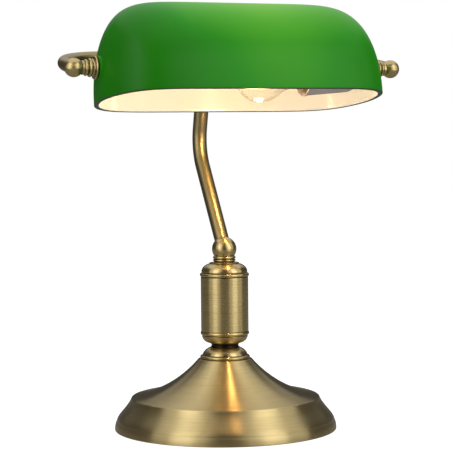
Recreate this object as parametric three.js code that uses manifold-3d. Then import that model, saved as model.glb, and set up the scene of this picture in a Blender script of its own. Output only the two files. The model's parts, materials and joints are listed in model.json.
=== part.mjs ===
// Banker desk lamp: a weighted brass base, a turned column, a bent arm, a bow-shaped yoke and a
// trough-shaped glass shade that tilts on two pivots. Millimetres, +Z up, the shade opens
// towards -Y, and the origin is the middle of the base where it meets the table.
import * as THREE from "three";
import { mergeVertices } from "three/addons/utils/BufferGeometryUtils.js";
import Module from "manifold-3d";

const wasm = await Module();
wasm.setup();

// ---- Driving dimensions ----
const GAP = 0.3; // between pieces that touch
const DEGREE = Math.PI / 180;

const BASE_RADIUS = 98;
const SKIRT_FOOT_Z = 0.5; // the brass stands this far off the table, on the felt
const BAND_TOP_Z = 8.4; // crease between the skirt's foot band and its hollow flank
const RIDGE_RADIUS = 83.2;
const RIDGE_Z = 29;
const CROWN_RADIUS = 23.6; // top of the base's cone
const CROWN_Z = 62.4;
const SHELL_WALL = 1.5;
const FELT_THICKNESS = 1.5;
const WEIGHT_RADIUS = 84;
const WEIGHT_TOP_Z = 13;
const GLAND_Z = 8.5;

const ROD_RADIUS = 5; // threaded tube that clamps the whole column
const ROD_BORE = 3.4;
const BORE = ROD_RADIUS + GAP; // hole for the rod, and for the pivot nipples

const SPOOL_Z = 72.8;
const CUP_Z = 76.2;
const BARREL_Z = 87;
const BARREL_TOP_Z = 134.8;
const BARREL_RADIUS = 21;
const LIP_RADIUS = 21.7;
const CAP_TOP_Z = 146.8;
const BALL_Z = 159.3; // centre of the knuckle ball
const BALL_RADIUS = 10.8;
const BALL_FLAT_Z = 153.5; // the ball is cut flat here and stands on its beads

const ARM_RADIUS = 6.5;
const ARM_WALL = 1.2;
const ARM_BEND = new THREE.Vector3(0, 60.7, 246.9); // corner of the arm, before it is rounded
const ARM_BEND_RADIUS = 42.5;

const PIVOT_X = 146.8; // centre of each end ball
const PIVOT_Y = -34.8;
const PIVOT_Z = 316.7;
const YOKE_RADIUS = 5.8;
const YOKE_WALL = 1.1;
const YOKE_START = 5.5; // from the pivot line to the ends of the bow, inside the end balls
const YOKE_DEPTH = 77; // from the pivot line to the middle of the yoke's cross bar
const YOKE_RISE = 8.6 * DEGREE; // the bow climbs towards the back
const YOKE_BEND_RADIUS = 59;
const END_BALL_RADIUS = 8;

const SHADE_TILT = 8.5 * DEGREE; // front edge up, as the lamp stands
const SHADE_HALF_LENGTH = 126.8;
const SHADE_HALF_DEPTH = 62.1;
const SHADE_HEIGHT = 84.1;
const SHADE_PIVOT_HEIGHT = 27.6; // pivots above the rim
const SHADE_WALL = 4;
const SHADE_POWERS = [7.6, 1.75, 2.2]; // how square the form is along X, Y and Z
const BOSS_RADIUS = 9.7; // flat ground pad around each hole in the glass
const BOSS_OUTER = 126.4;
const BOSS_INNER = 119.6;

const HOLDER_X = 112; // back end of the lampholder
const HOLDER_DROOP = 4.5 * DEGREE;
const HOLDER_RADIUS = 19.6;
const HOLDER_LENGTH = 52;
const HOLDER_CAP_LENGTH = 12;
const BULB_RADIUS = 22.6;
const BULB_CENTRE = 91; // from the back end of the lampholder
const BULB_NECK_START = 50;
const BULB_WALL = 0.8;

// ---- Finishes ----
const FINISH = {
  brass: { color: 0x8c7745, roughness: 0.36, metalness: 1 },
  brightBrass: { color: 0xa58c55, roughness: 0.3, metalness: 1 },
  iron: { color: 0x3a3a3c, roughness: 0.8, metalness: 0.6 },
  zinc: { color: 0xb9bcc0, roughness: 0.4, metalness: 1 },
  felt: { color: 0x1f2a22, roughness: 1, metalness: 0 },
  rubber: { color: 0x1a1a1a, roughness: 0.7, metalness: 0 },
  fibre: { color: 0x3b2a20, roughness: 0.8, metalness: 0 },
  greenGlass: { color: 0x1f8a12, roughness: 0.08, metalness: 0 },
  bakelite: { color: 0x6f7175, roughness: 0.45, metalness: 0 },
  ceramic: { color: 0xe8e4da, roughness: 0.35, metalness: 0 },
  nickel: { color: 0xc9c6bd, roughness: 0.25, metalness: 1 },
  clearGlass: { color: 0xfff4dc, roughness: 0.05, metalness: 0 },
  blackGlass: { color: 0x101014, roughness: 0.2, metalness: 0 },
  tungsten: { color: 0xffc46a, roughness: 0.5, metalness: 1 },
};

const lamp = new THREE.Group();

function addPiece(parent, name, geometry, finish) {
  const mesh = new THREE.Mesh(geometry, new THREE.MeshStandardMaterial(FINISH[finish]));
  mesh.name = name;
  parent.add(mesh);
  return mesh;
}

// ---- Shaping helpers ----

/** Turns a (radius, height) outline about +Z. Curved stretches get `steps` divisions. */
function turned(outline, sides = 20, steps = 3) {
  const points = outline.getPoints(steps);
  if (THREE.ShapeUtils.area(points) < 0) points.reverse();
  return new THREE.LatheGeometry(points, sides).rotateX(Math.PI / 2);
}

/** Outline of a ring between two radii and two heights. */
function ringOutline(inner, outer, low, high) {
  return new THREE.Path()
    .moveTo(inner, low)
    .lineTo(outer, low)
    .lineTo(outer, high)
    .lineTo(inner, high)
    .closePath();
}

/** Plain rod from height `low` to `high` about +Z, for cutting holes and for pins. */
function rod(radius, low, high, sides = 24) {
  const height = high - low;
  return new THREE.CylinderGeometry(radius, radius, height, sides)
    .rotateX(Math.PI / 2)
    .translate(0, 0, low + height / 2);
}

/** Six-sided nut about +Z with a round hole. */
function hexNut(acrossFlats, hole, low, high) {
  const corner = acrossFlats / 2 / Math.cos(30 * DEGREE);
  const outline = new THREE.Shape();
  for (let i = 0; i < 6; i++) {
    const angle = i * 60 * DEGREE;
    outline[i ? "lineTo" : "moveTo"](corner * Math.cos(angle), corner * Math.sin(angle));
  }
  outline.closePath();
  outline.holes.push(new THREE.Path().absarc(0, 0, hole, 0, 2 * Math.PI));
  const options = { depth: high - low, bevelEnabled: false, curveSegments: 8 };
  return new THREE.ExtrudeGeometry(outline, options).translate(0, 0, low);
}

/** A closed geometry as a solid that can be cut and joined. */
function solidOf(geometry) {
  const plain = geometry.clone();
  plain.deleteAttribute("normal");
  plain.deleteAttribute("uv");
  const merged = mergeVertices(plain, 1e-4);
  const corners = merged.index.array;
  const kept = [];
  for (let i = 0; i < corners.length; i += 3) {
    const [a, b, c] = corners.slice(i, i + 3);
    if (a !== b && b !== c && c !== a) kept.push(a, b, c);
  }
  const vertProperties = merged.attributes.position.array;
  return new wasm.Manifold(new wasm.Mesh({ numProp: 3, vertProperties, triVerts: new Uint32Array(kept) }));
}

function geometryOf(solid) {
  const { vertProperties, triVerts } = solid.getMesh();
  const geometry = new THREE.BufferGeometry();
  geometry.setAttribute("position", new THREE.BufferAttribute(vertProperties, 3));
  geometry.setIndex(new THREE.BufferAttribute(triVerts, 1));
  geometry.computeVertexNormals();
  return geometry;
}

function cut(geometry, ...tools) {
  return geometryOf(tools.reduce((left, tool) => left.subtract(solidOf(tool)), solidOf(geometry)));
}

/** Circular arc in space, from `start` to `end` about `centre`, shorter than half a turn. */
class SpaceArc extends THREE.Curve {
  constructor(centre, start, end) {
    super();
    this.centre = centre;
    this.from = start.clone().sub(centre);
    this.to = end.clone().sub(centre);
    this.sweep = this.from.angleTo(this.to);
  }

  getPoint(t, target = new THREE.Vector3()) {
    const a = Math.sin((1 - t) * this.sweep) / Math.sin(this.sweep);
    const b = Math.sin(t * this.sweep) / Math.sin(this.sweep);
    return target.copy(this.centre).addScaledVector(this.from, a).addScaledVector(this.to, b);
  }
}

/** Path through `points` in straight lines, with each inner corner rounded to `radius`. */
function roundedPath(points, radius) {
  const path = new THREE.CurvePath();
  let start = points[0];
  for (let i = 1; i < points.length - 1; i++) {
    const back = points[i - 1].clone().sub(points[i]).normalize();
    const ahead = points[i + 1].clone().sub(points[i]).normalize();
    const half = back.angleTo(ahead) / 2;
    const enter = points[i].clone().addScaledVector(back, radius / Math.tan(half));
    const leave = points[i].clone().addScaledVector(ahead, radius / Math.tan(half));
    const inward = back.clone().add(ahead).normalize();
    const centre = points[i].clone().addScaledVector(inward, radius / Math.sin(half));
    path.add(new THREE.LineCurve3(start, enter));
    path.add(new SpaceArc(centre, enter, leave));
    start = leave;
  }
  path.add(new THREE.LineCurve3(start, points.at(-1)));
  return path;
}

/** Round tube along a path, open at both ends. */
function tube(path, radius, wall, steps) {
  const section = new THREE.Shape().absarc(0, 0, radius, 0, 2 * Math.PI);
  section.holes.push(new THREE.Path().absarc(0, 0, radius - wall, 0, 2 * Math.PI));
  return new THREE.ExtrudeGeometry(section, { steps, extrudePath: path, curveSegments: 6 });
}

/** Solid round wire along a path. */
function wire(path, radius, steps) {
  const section = new THREE.Shape().absarc(0, 0, radius, 0, 2 * Math.PI);
  return new THREE.ExtrudeGeometry(section, { steps, extrudePath: path, curveSegments: 3 });
}

// ---- Base: spun shell, cast ballast, felt, clamp hardware and the gland in the skirt ----

/** Side view of the base's skin, from the foot of the skirt to the hole in its crown. */
function baseSkin(outline, inset) {
  const foot = BASE_RADIUS - inset;
  const ridge = RIDGE_RADIUS - inset;
  const dishZ = RIDGE_Z - inset;
  return outline
    .lineTo(foot, SKIRT_FOOT_Z)
    .quadraticCurveTo(foot + 0.2, 5, foot - 1.6, BAND_TOP_Z)
    .bezierCurveTo(foot - 2.2, 13, ridge + 4.3, 19, ridge + 0.4, RIDGE_Z - 1.6 - inset)
    .quadraticCurveTo(ridge, dishZ, ridge - 1.4, dishZ)
    .bezierCurveTo(60 - inset, 31.6 - inset, 38 - inset, 45.4 - inset, CROWN_RADIUS - inset, CROWN_Z - inset)
    .lineTo(BORE, CROWN_Z - inset);
}

function baseShell() {
  const outside = baseSkin(new THREE.Path().moveTo(BASE_RADIUS - SHELL_WALL, SKIRT_FOOT_Z), 0);
  const inside = baseSkin(new THREE.Path().moveTo(BASE_RADIUS - SHELL_WALL, SKIRT_FOOT_Z), SHELL_WALL);
  const loop = [...outside.getPoints(4), ...inside.getPoints(3).reverse()];
  const skin = new THREE.LatheGeometry(loop, 32).rotateX(Math.PI / 2);
  const glandHole = rod(4.3, 80, 110, 16).rotateX(-Math.PI / 2).translate(0, 0, GLAND_Z);
  return cut(skin, glandHole);
}

/** Cast disc with a boss that reaches up under the crown and a recess below for the nut. */
function baseWeight() {
  const underside = FELT_THICKNESS + GAP;
  const outline = new THREE.Path()
    .moveTo(BORE, 10)
    .lineTo(15, 10)
    .lineTo(15, underside)
    .lineTo(WEIGHT_RADIUS - 1, underside)
    .lineTo(WEIGHT_RADIUS, underside + 1)
    .lineTo(WEIGHT_RADIUS, WEIGHT_TOP_Z - 2)
    .lineTo(WEIGHT_RADIUS - 2, WEIGHT_TOP_Z)
    .lineTo(24, WEIGHT_TOP_Z)
    .quadraticCurveTo(15, WEIGHT_TOP_Z + 2, 14, 24)
    .lineTo(11, CROWN_Z - SHELL_WALL - GAP)
    .lineTo(BORE, CROWN_Z - SHELL_WALL - GAP)
    .closePath();
  return turned(outline, 24, 2);
}

/** Rubber bush: a collar outside the skirt, a lip inside it and a bore for the cord. */
function cordGland() {
  const outline = new THREE.Path()
    .moveTo(3, 84.8)
    .lineTo(5.4, 84.8)
    .lineTo(5.4, 87)
    .lineTo(4, 87.4)
    .lineTo(4, BASE_RADIUS + 0.5)
    .lineTo(6, BASE_RADIUS + 0.5)
    .lineTo(5.2, BASE_RADIUS + 3)
    .lineTo(3, BASE_RADIUS + 3)
    .closePath();
  return turned(outline, 12).rotateX(-Math.PI / 2).translate(0, 0, GLAND_Z);
}

addPiece(lamp, "base_shell", baseShell(), "brass");
addPiece(lamp, "base_weight", baseWeight(), "iron");
addPiece(lamp, "base_felt", rod(BASE_RADIUS - 4, 0, FELT_THICKNESS, 36), "felt");
addPiece(lamp, "base_washer", turned(ringOutline(BORE, 12, 8.4, 9.7), 20), "zinc");
addPiece(lamp, "base_lock_nut", hexNut(16, BORE, 3.6, 8.1), "zinc");
addPiece(lamp, "cord_gland", cordGland(), "rubber");
addPiece(lamp, "central_rod", turned(ringOutline(ROD_BORE, ROD_RADIUS, 3, 156), 16), "zinc");

// ---- Column: turned pieces threaded on the central rod, from the base up ----

/** Bell collar: a bead at the foot, then a dome that draws in to the spool. */
function neckCollar() {
  const foot = CROWN_Z + GAP;
  const outline = new THREE.Path()
    .moveTo(BORE, foot)
    .lineTo(20.6, foot)
    .absarc(20.6, foot + 1.4, 1.4, -Math.PI / 2, Math.PI / 2)
    .bezierCurveTo(19.8, 68.5, 15.6, 71.6, 13.2, SPOOL_Z - GAP)
    .lineTo(BORE, SPOOL_Z - GAP)
    .closePath();
  return turned(outline, 24);
}

function neckSpool() {
  const outline = new THREE.Path()
    .moveTo(BORE, SPOOL_Z)
    .lineTo(12.6, SPOOL_Z)
    .quadraticCurveTo(11.4, (SPOOL_Z + CUP_Z) / 2, 12.6, CUP_Z - GAP)
    .lineTo(BORE, CUP_Z - GAP)
    .closePath();
  return turned(outline, 24);
}

/** Cup under the barrel: flares out to a rounded lip that carries the barrel's foot. */
function columnCup() {
  const top = BARREL_Z - GAP;
  const outline = new THREE.Path()
    .moveTo(BORE, CUP_Z)
    .lineTo(13, CUP_Z)
    .bezierCurveTo(18, 77, 19.9, 79.5, 20.5, 83.2)
    .lineTo(LIP_RADIUS - 0.6, 83.6)
    .quadraticCurveTo(LIP_RADIUS + 0.5, (83.6 + top) / 2, LIP_RADIUS - 0.7, top)
    .lineTo(BORE, top)
    .closePath();
  return turned(outline, 24);
}

/** Domed cap over the barrel, with a bead round its foot. */
function columnCap() {
  const foot = BARREL_TOP_Z + GAP;
  const outline = new THREE.Path()
    .moveTo(BORE, foot)
    .lineTo(20.2, foot)
    .absarc(20.2, foot + 1.6, 1.6, -Math.PI / 2, Math.PI / 2)
    .lineTo(20.3, foot + 4)
    .bezierCurveTo(20.4, 142.8, 17.4, 145.6, 12.6, CAP_TOP_Z)
    .lineTo(BORE, CAP_TOP_Z)
    .closePath();
  return turned(outline, 24);
}

function seatWasher() {
  const foot = CAP_TOP_Z + GAP;
  const outline = new THREE.Path()
    .moveTo(BORE, foot)
    .lineTo(13.2, foot)
    .quadraticCurveTo(10, foot + 0.8, 9, foot + 1.4)
    .lineTo(BORE, foot + 1.4)
    .closePath();
  return turned(outline, 24);
}

/** Two beads with a groove between them; the flattened ball stands on the upper one. */
function seatBeads() {
  const foot = CAP_TOP_Z + 2 * GAP + 1.4;
  const top = BALL_FLAT_Z - GAP;
  const groove = foot + 1.7;
  const outline = new THREE.Path()
    .moveTo(BORE, foot)
    .lineTo(9.4, foot)
    .quadraticCurveTo(11.2, (foot + groove) / 2, 9, groove)
    .quadraticCurveTo(11.2, (groove + top) / 2, 9.2, top)
    .lineTo(BORE, top)
    .closePath();
  return turned(outline, 24);
}

const BALL_CENTRE = new THREE.Vector3(0, 0, BALL_Z);
const ARM_LEAN = Math.atan2(ARM_BEND.y, ARM_BEND.z - BALL_Z); // from the vertical, backwards

/** Ball cut flat below, bored for the rod from below and for the arm from above. */
function knuckleBall() {
  const ball = new THREE.SphereGeometry(BALL_RADIUS, 20, 12).rotateX(Math.PI / 2);
  const flat = rod(2 * BALL_RADIUS, -2 * BALL_RADIUS, BALL_FLAT_Z - BALL_Z, 8);
  const rodHole = rod(BORE, -BALL_RADIUS, 0, 16);
  const armSocket = rod(ARM_RADIUS + GAP, 3.5, 2 * BALL_RADIUS, 24).rotateX(-ARM_LEAN);
  return cut(ball, flat, rodHole, armSocket);
}

addPiece(lamp, "neck_collar", neckCollar(), "brass");
addPiece(lamp, "neck_spool", neckSpool(), "brass");
addPiece(lamp, "column_cup", columnCup(), "brass");
const barrelOutline = ringOutline(BARREL_RADIUS - 2, BARREL_RADIUS, BARREL_Z, BARREL_TOP_Z);
addPiece(lamp, "column_barrel", turned(barrelOutline, 32), "brass");
addPiece(lamp, "column_cap", columnCap(), "brass");
addPiece(lamp, "seat_washer", seatWasher(), "brass");
addPiece(lamp, "seat_beads", seatBeads(), "brass");
addPiece(lamp, "knuckle_ball", knuckleBall(), "brass").position.copy(BALL_CENTRE);

// ---- Arm and yoke ----

/** Point of the yoke's plane: sideways, and back from the pivot line along the rise. */
function yokePoint(sideways, back) {
  const y = PIVOT_Y + back * Math.cos(YOKE_RISE);
  const z = PIVOT_Z + back * Math.sin(YOKE_RISE);
  return new THREE.Vector3(sideways, y, z);
}

const CROSS_BAR = yokePoint(0, YOKE_DEPTH);
const ARM_TOP_DIRECTION = CROSS_BAR.clone().sub(ARM_BEND).normalize();

/** Bent tube from the ball to the cross bar, its top end shaped to saddle the bar. */
function armTube() {
  const leaning = new THREE.Vector3(0, Math.sin(ARM_LEAN), Math.cos(ARM_LEAN));
  const start = BALL_CENTRE.clone().addScaledVector(leaning, 4);
  const end = CROSS_BAR.clone().addScaledVector(ARM_TOP_DIRECTION, -3.5);
  const bent = tube(roundedPath([start, ARM_BEND, end], ARM_BEND_RADIUS), ARM_RADIUS, ARM_WALL, 16);
  const bar = rod(YOKE_RADIUS + GAP, -20, 20, 28).rotateY(Math.PI / 2).translate(...CROSS_BAR);
  return cut(bent, bar);
}

/** Turned ring that dresses the joint just under the cross bar. */
function yokeCollar() {
  const outline = new THREE.Path()
    .moveTo(ARM_RADIUS + GAP, -15)
    .lineTo(7.6, -15)
    .quadraticCurveTo(9.6, -12, 7.6, -9)
    .lineTo(ARM_RADIUS + GAP, -9)
    .closePath();
  return turned(outline, 20);
}

/** Bow of tube round the back of the shade, from one end ball to the other. */
function yokeTube() {
  const corners = [
    yokePoint(-PIVOT_X, YOKE_START),
    yokePoint(-PIVOT_X, YOKE_DEPTH),
    yokePoint(PIVOT_X, YOKE_DEPTH),
    yokePoint(PIVOT_X, YOKE_START),
  ];
  const bow = tube(roundedPath(corners, YOKE_BEND_RADIUS), YOKE_RADIUS, YOKE_WALL, 30);
  const leadHole = rod(3, -2 * YOKE_RADIUS, 0, 12).translate(...CROSS_BAR);
  return cut(bow, leadHole);
}

addPiece(lamp, "arm_tube", armTube(), "brass");
addPiece(lamp, "yoke_tube", yokeTube(), "brass");
const yokeCollarPiece = addPiece(lamp, "yoke_collar", yokeCollar(), "brass");
yokeCollarPiece.position.copy(CROSS_BAR);
yokeCollarPiece.quaternion.setFromUnitVectors(new THREE.Vector3(0, 0, 1), ARM_TOP_DIRECTION);

// ---- Pivot hardware, the same on both sides ----
// Heights in these outlines are distances from the lamp's middle plane, outwards.

/** Cup-shaped flange that presses the glass: a wide rim, then a waist. */
function pivotFlange() {
  const inner = BOSS_OUTER + 0.7 + 2 * GAP;
  const outline = new THREE.Path()
    .moveTo(BORE, inner)
    .lineTo(9.2, inner)
    .quadraticCurveTo(10.5, inner + 0.9, 9.4, inner + 1.9)
    .quadraticCurveTo(7, inner + 2.2, 6.8, 131.6)
    .lineTo(BORE, 131.6)
    .closePath();
  return turned(outline, 24);
}

/** Spacer turned with two rings and a short neck next to the ball. */
function ringSpacer() {
  const outline = new THREE.Path()
    .moveTo(BORE, 131.9)
    .lineTo(7, 131.9)
    .quadraticCurveTo(8.7, 133.2, 7, 134.5)
    .lineTo(6, 134.8)
    .lineTo(6, 135.4)
    .quadraticCurveTo(8, 136.7, 6, 138)
    .lineTo(5.9, 140.4)
    .lineTo(BORE, 140.4)
    .closePath();
  return turned(outline, 20);
}

/** Ball with a socket for the nipple on its inner side and one for the yoke behind. */
function endBall(side) {
  const ball = new THREE.SphereGeometry(END_BALL_RADIUS, 16, 10);
  const nippleHole = rod(BORE, 0, 2 * END_BALL_RADIUS, 16).rotateY((-side * Math.PI) / 2);
  const yokeHole = rod(YOKE_RADIUS + GAP, YOKE_START - GAP, 2 * END_BALL_RADIUS, 20);
  yokeHole.rotateX(YOKE_RISE - Math.PI / 2);
  return cut(ball, nippleHole, yokeHole);
}

for (const [label, side] of [["left", -1], ["right", 1]]) {
  const line = new THREE.Group();
  line.position.set(0, PIVOT_Y, PIVOT_Z);
  line.rotation.y = (side * Math.PI) / 2;
  lamp.add(line);
  const washer = (face) => turned(ringOutline(BORE, 9.2, face, face + 0.7), 16);
  const nippleStart = side > 0 ? 109.5 : 112.5;
  addPiece(line, `${label}_nipple`, turned(ringOutline(ROD_BORE, ROD_RADIUS, nippleStart, 143), 16), "zinc");
  addPiece(line, `${label}_lock_nut`, hexNut(14, BORE, 114.4, 118.2), "zinc");
  addPiece(line, `${label}_inner_washer`, washer(BOSS_INNER - GAP - 0.7), "fibre");
  addPiece(line, `${label}_outer_washer`, washer(BOSS_OUTER + GAP), "fibre");
  addPiece(line, `${label}_flange`, pivotFlange(), "brass");
  addPiece(line, `${label}_ring_spacer`, ringSpacer(), "brass");
  addPiece(lamp, `${label}_end_ball`, endBall(side), "brass").position.set(side * PIVOT_X, PIVOT_Y, PIVOT_Z);
}

// ---- Glass shade ----

/**
 * Rounded block centred on the origin: each coordinate of a unit sphere, taken to the power
 * 2 / p and stretched, lies on |x/a|^p + |y/b|^q + |z/c|^s = 1.
 */
function roundedBlock(halfSizes) {
  const geometry = new THREE.SphereGeometry(1, 36, 18).rotateX(Math.PI / 2);
  const place = geometry.attributes.position;
  const shape = (value, axis) =>
    Math.sign(value) * halfSizes[axis] * Math.abs(value) ** (2 / SHADE_POWERS[axis]);
  for (let i = 0; i < place.count; i++) {
    place.setXYZ(i, shape(place.getX(i), 0), shape(place.getY(i), 1), shape(place.getZ(i), 2));
  }
  return geometry;
}

/** Upper half of a rounded block, hollowed, with a bored flat pad in each end wall. */
function shadeGlass() {
  const sizes = [SHADE_HALF_LENGTH, SHADE_HALF_DEPTH, SHADE_HEIGHT];
  const outside = solidOf(roundedBlock(sizes));
  const inside = solidOf(roundedBlock(sizes.map((size) => size - SHADE_WALL)));
  const below = solidOf(new THREE.BoxGeometry(300, 200, 200).translate(0, 0, -100));
  let glass = outside.subtract(inside).subtract(below);
  for (const side of [-1, 1]) {
    const boss = rod(BOSS_RADIUS, BOSS_INNER, BOSS_OUTER, 24);
    const hole = rod(BORE + 0.2, BOSS_INNER - 5, BOSS_OUTER + 5, 20);
    for (const tool of [boss, hole]) {
      tool.rotateY((side * Math.PI) / 2).translate(0, 0, SHADE_PIVOT_HEIGHT);
    }
    glass = glass.add(solidOf(boss)).subtract(solidOf(hole));
  }
  return geometryOf(glass).translate(0, 0, -SHADE_PIVOT_HEIGHT);
}

const shade = addPiece(lamp, "shade_glass", shadeGlass(), "greenGlass");
shade.position.set(0, PIVOT_Y, PIVOT_Z);
shade.rotation.x = -SHADE_TILT;

// ---- Lampholder and bulb, on an axis that droops from the right-hand pivot ----
// Heights in these outlines are distances from the lampholder's back end, towards the bulb.

const holder = new THREE.Group();
holder.position.set(HOLDER_X, PIVOT_Y, PIVOT_Z);
holder.rotation.y = -Math.PI / 2 - HOLDER_DROOP;
lamp.add(holder);

const HOLDER_BORE = 5.8; // clears the nipple, which is not quite in line
const THREAD_OUTER = 14.6;
const THREAD_INNER = 13.9;

/** Domed back cover, a shell 1.5 thick. */
function holderCap() {
  const wall = 1.5;
  const edge = HOLDER_CAP_LENGTH - GAP;
  const outline = new THREE.Path()
    .moveTo(HOLDER_BORE, 0)
    .lineTo(8, 0)
    .bezierCurveTo(14, 0.4, HOLDER_RADIUS, 4, HOLDER_RADIUS, edge)
    .lineTo(HOLDER_RADIUS - wall, edge)
    .bezierCurveTo(HOLDER_RADIUS - wall, 4 + wall, 14 - wall, 0.4 + wall, 8, wall)
    .lineTo(HOLDER_BORE, wall)
    .closePath();
  return turned(outline, 24);
}

/** Insulating core: a thick disc with a well for the bulb's contact. */
function holderInsert() {
  const outline = new THREE.Path()
    .moveTo(3, HOLDER_CAP_LENGTH + 0.5)
    .lineTo(17.5, HOLDER_CAP_LENGTH + 0.5)
    .lineTo(17.5, 22)
    .lineTo(THREAD_OUTER, 22)
    .lineTo(THREAD_OUTER, 20)
    .lineTo(3, 20)
    .closePath();
  return turned(outline, 20);
}

/** Skirt of the lampholder, with a rolled bead at its open end. */
function holderShell() {
  const end = HOLDER_LENGTH;
  const outline = new THREE.Path()
    .moveTo(HOLDER_RADIUS - 1.4, HOLDER_CAP_LENGTH)
    .lineTo(HOLDER_RADIUS, HOLDER_CAP_LENGTH)
    .lineTo(HOLDER_RADIUS, end - 2.4)
    .quadraticCurveTo(HOLDER_RADIUS + 0.9, end - 1.2, HOLDER_RADIUS - 0.2, end)
    .lineTo(HOLDER_RADIUS - 1.4, end)
    .closePath();
  return turned(outline, 24);
}

/** Spring tongue that meets the bulb's tip. */
function holderContact() {
  return new THREE.BoxGeometry(5, 9, 0.8).translate(0, 0, 21);
}

/** Screw cap of the bulb: a cup whose skirt is rolled into shallow rounds. */
function bulbCap() {
  const start = 25;
  const rounds = 4;
  const pitch = 3.6;
  const outline = new THREE.Path().moveTo(6.2, start).lineTo(9.5, start).lineTo(12.6, start + 3.4);
  for (let i = 0; i < rounds; i++) {
    const z = start + 3.4 + i * pitch;
    outline.quadraticCurveTo(13.9, z + pitch / 2, 12.6, z + pitch);
  }
  outline.lineTo(13, BULB_NECK_START).lineTo(12.3, BULB_NECK_START);
  outline.lineTo(11.8, start + 4).lineTo(6.2, start + 1).closePath();
  return turned(outline, 20, 2);
}

/** Clear envelope: a globe drawn out into a neck that is open at the cap. */
function bulbGlass() {
  const neckRadius = 11.2;
  const outline = new THREE.Path().moveTo(neckRadius - BULB_WALL, BULB_NECK_START - 2);
  const side = (radius, neck) => {
    const meet = BULB_CENTRE - Math.sqrt(radius ** 2 - 17.5 ** 2);
    const angle = Math.atan2(meet - BULB_CENTRE, 17.5);
    return new THREE.Path()
      .moveTo(neck, BULB_NECK_START - 2)
      .bezierCurveTo(neck, 60, 12, 68, 17.5, meet)
      .absarc(0, BULB_CENTRE, radius, angle, Math.PI / 2);
  };
  const outer = side(BULB_RADIUS, neckRadius).getPoints(4);
  const inner = side(BULB_RADIUS - BULB_WALL, neckRadius - BULB_WALL).getPoints(4).reverse();
  inner[0].x = 0;
  outer.at(-1).x = 0;
  return new THREE.LatheGeometry([...inner, ...outer], 18).rotateX(Math.PI / 2);
}

/** Pressed glass stem that holds the filament's wires. */
function bulbStem() {
  const outline = new THREE.Path()
    .moveTo(0, 50)
    .lineTo(9, 50)
    .bezierCurveTo(5, 54, 3.4, 60, 3.2, 74)
    .quadraticCurveTo(3, 77, 0, 77);
  return turned(outline, 14);
}

const FILAMENT_HALF = 9;
const FILAMENT_DISTANCE = 92;

function filament() {
  const ends = [
    new THREE.Vector3(0, -FILAMENT_HALF, FILAMENT_DISTANCE),
    new THREE.Vector3(0, 0, FILAMENT_DISTANCE + 6),
    new THREE.Vector3(0, FILAMENT_HALF, FILAMENT_DISTANCE),
  ];
  return wire(roundedPath(ends, 8), 0.5, 10);
}

/** Wire from the stem's flank out to one end of the filament. */
function leadWire(side) {
  const foot = new THREE.Vector3(0, side * 3.9, 70);
  const tip = new THREE.Vector3(0, side * (FILAMENT_HALF + 0.4), FILAMENT_DISTANCE - 1);
  return wire(new THREE.LineCurve3(foot, tip), 0.4, 1);
}

const threadOutline = ringOutline(THREAD_INNER, THREAD_OUTER - GAP, 20.6, 47);
addPiece(holder, "holder_cap", holderCap(), "bakelite");
addPiece(holder, "holder_shell", holderShell(), "bakelite");
addPiece(holder, "holder_insert", holderInsert(), "ceramic");
addPiece(holder, "holder_thread", turned(threadOutline, 20), "nickel");
addPiece(holder, "holder_contact", holderContact(), "brightBrass");
addPiece(holder, "bulb_cap", bulbCap(), "nickel");
addPiece(holder, "bulb_insulator", turned(ringOutline(2.8, 5.9, 24, 26.4), 12), "blackGlass");
addPiece(holder, "bulb_contact", rod(2.5, 22.6, 26, 10), "nickel");
addPiece(holder, "bulb_glass", bulbGlass(), "clearGlass");
addPiece(holder, "bulb_stem", bulbStem(), "clearGlass");
addPiece(holder, "bulb_filament", filament(), "tungsten");
addPiece(holder, "bulb_lead_left", leadWire(-1), "nickel");
addPiece(holder, "bulb_lead_right", leadWire(1), "nickel");

export default lamp;
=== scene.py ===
# %% [markdown]
# # A banker's desk lamp
#
# The lamp is a weighted brass base, a turned column, a bent arm, a bow-shaped yoke and a green glass
# trough that tilts on two pivots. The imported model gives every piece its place. This lesson builds a
# smooth surface over each piece that shows, and gives each one the finish of the real thing.
# The lamp's lengths are worked out in millimetres and written to the meshes in metres; those of the
# floor and the soft boxes are in metres.

# %% Load the frame
import json
import math

import bpy
import numpy as np
from mathutils import Matrix, Vector


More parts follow.
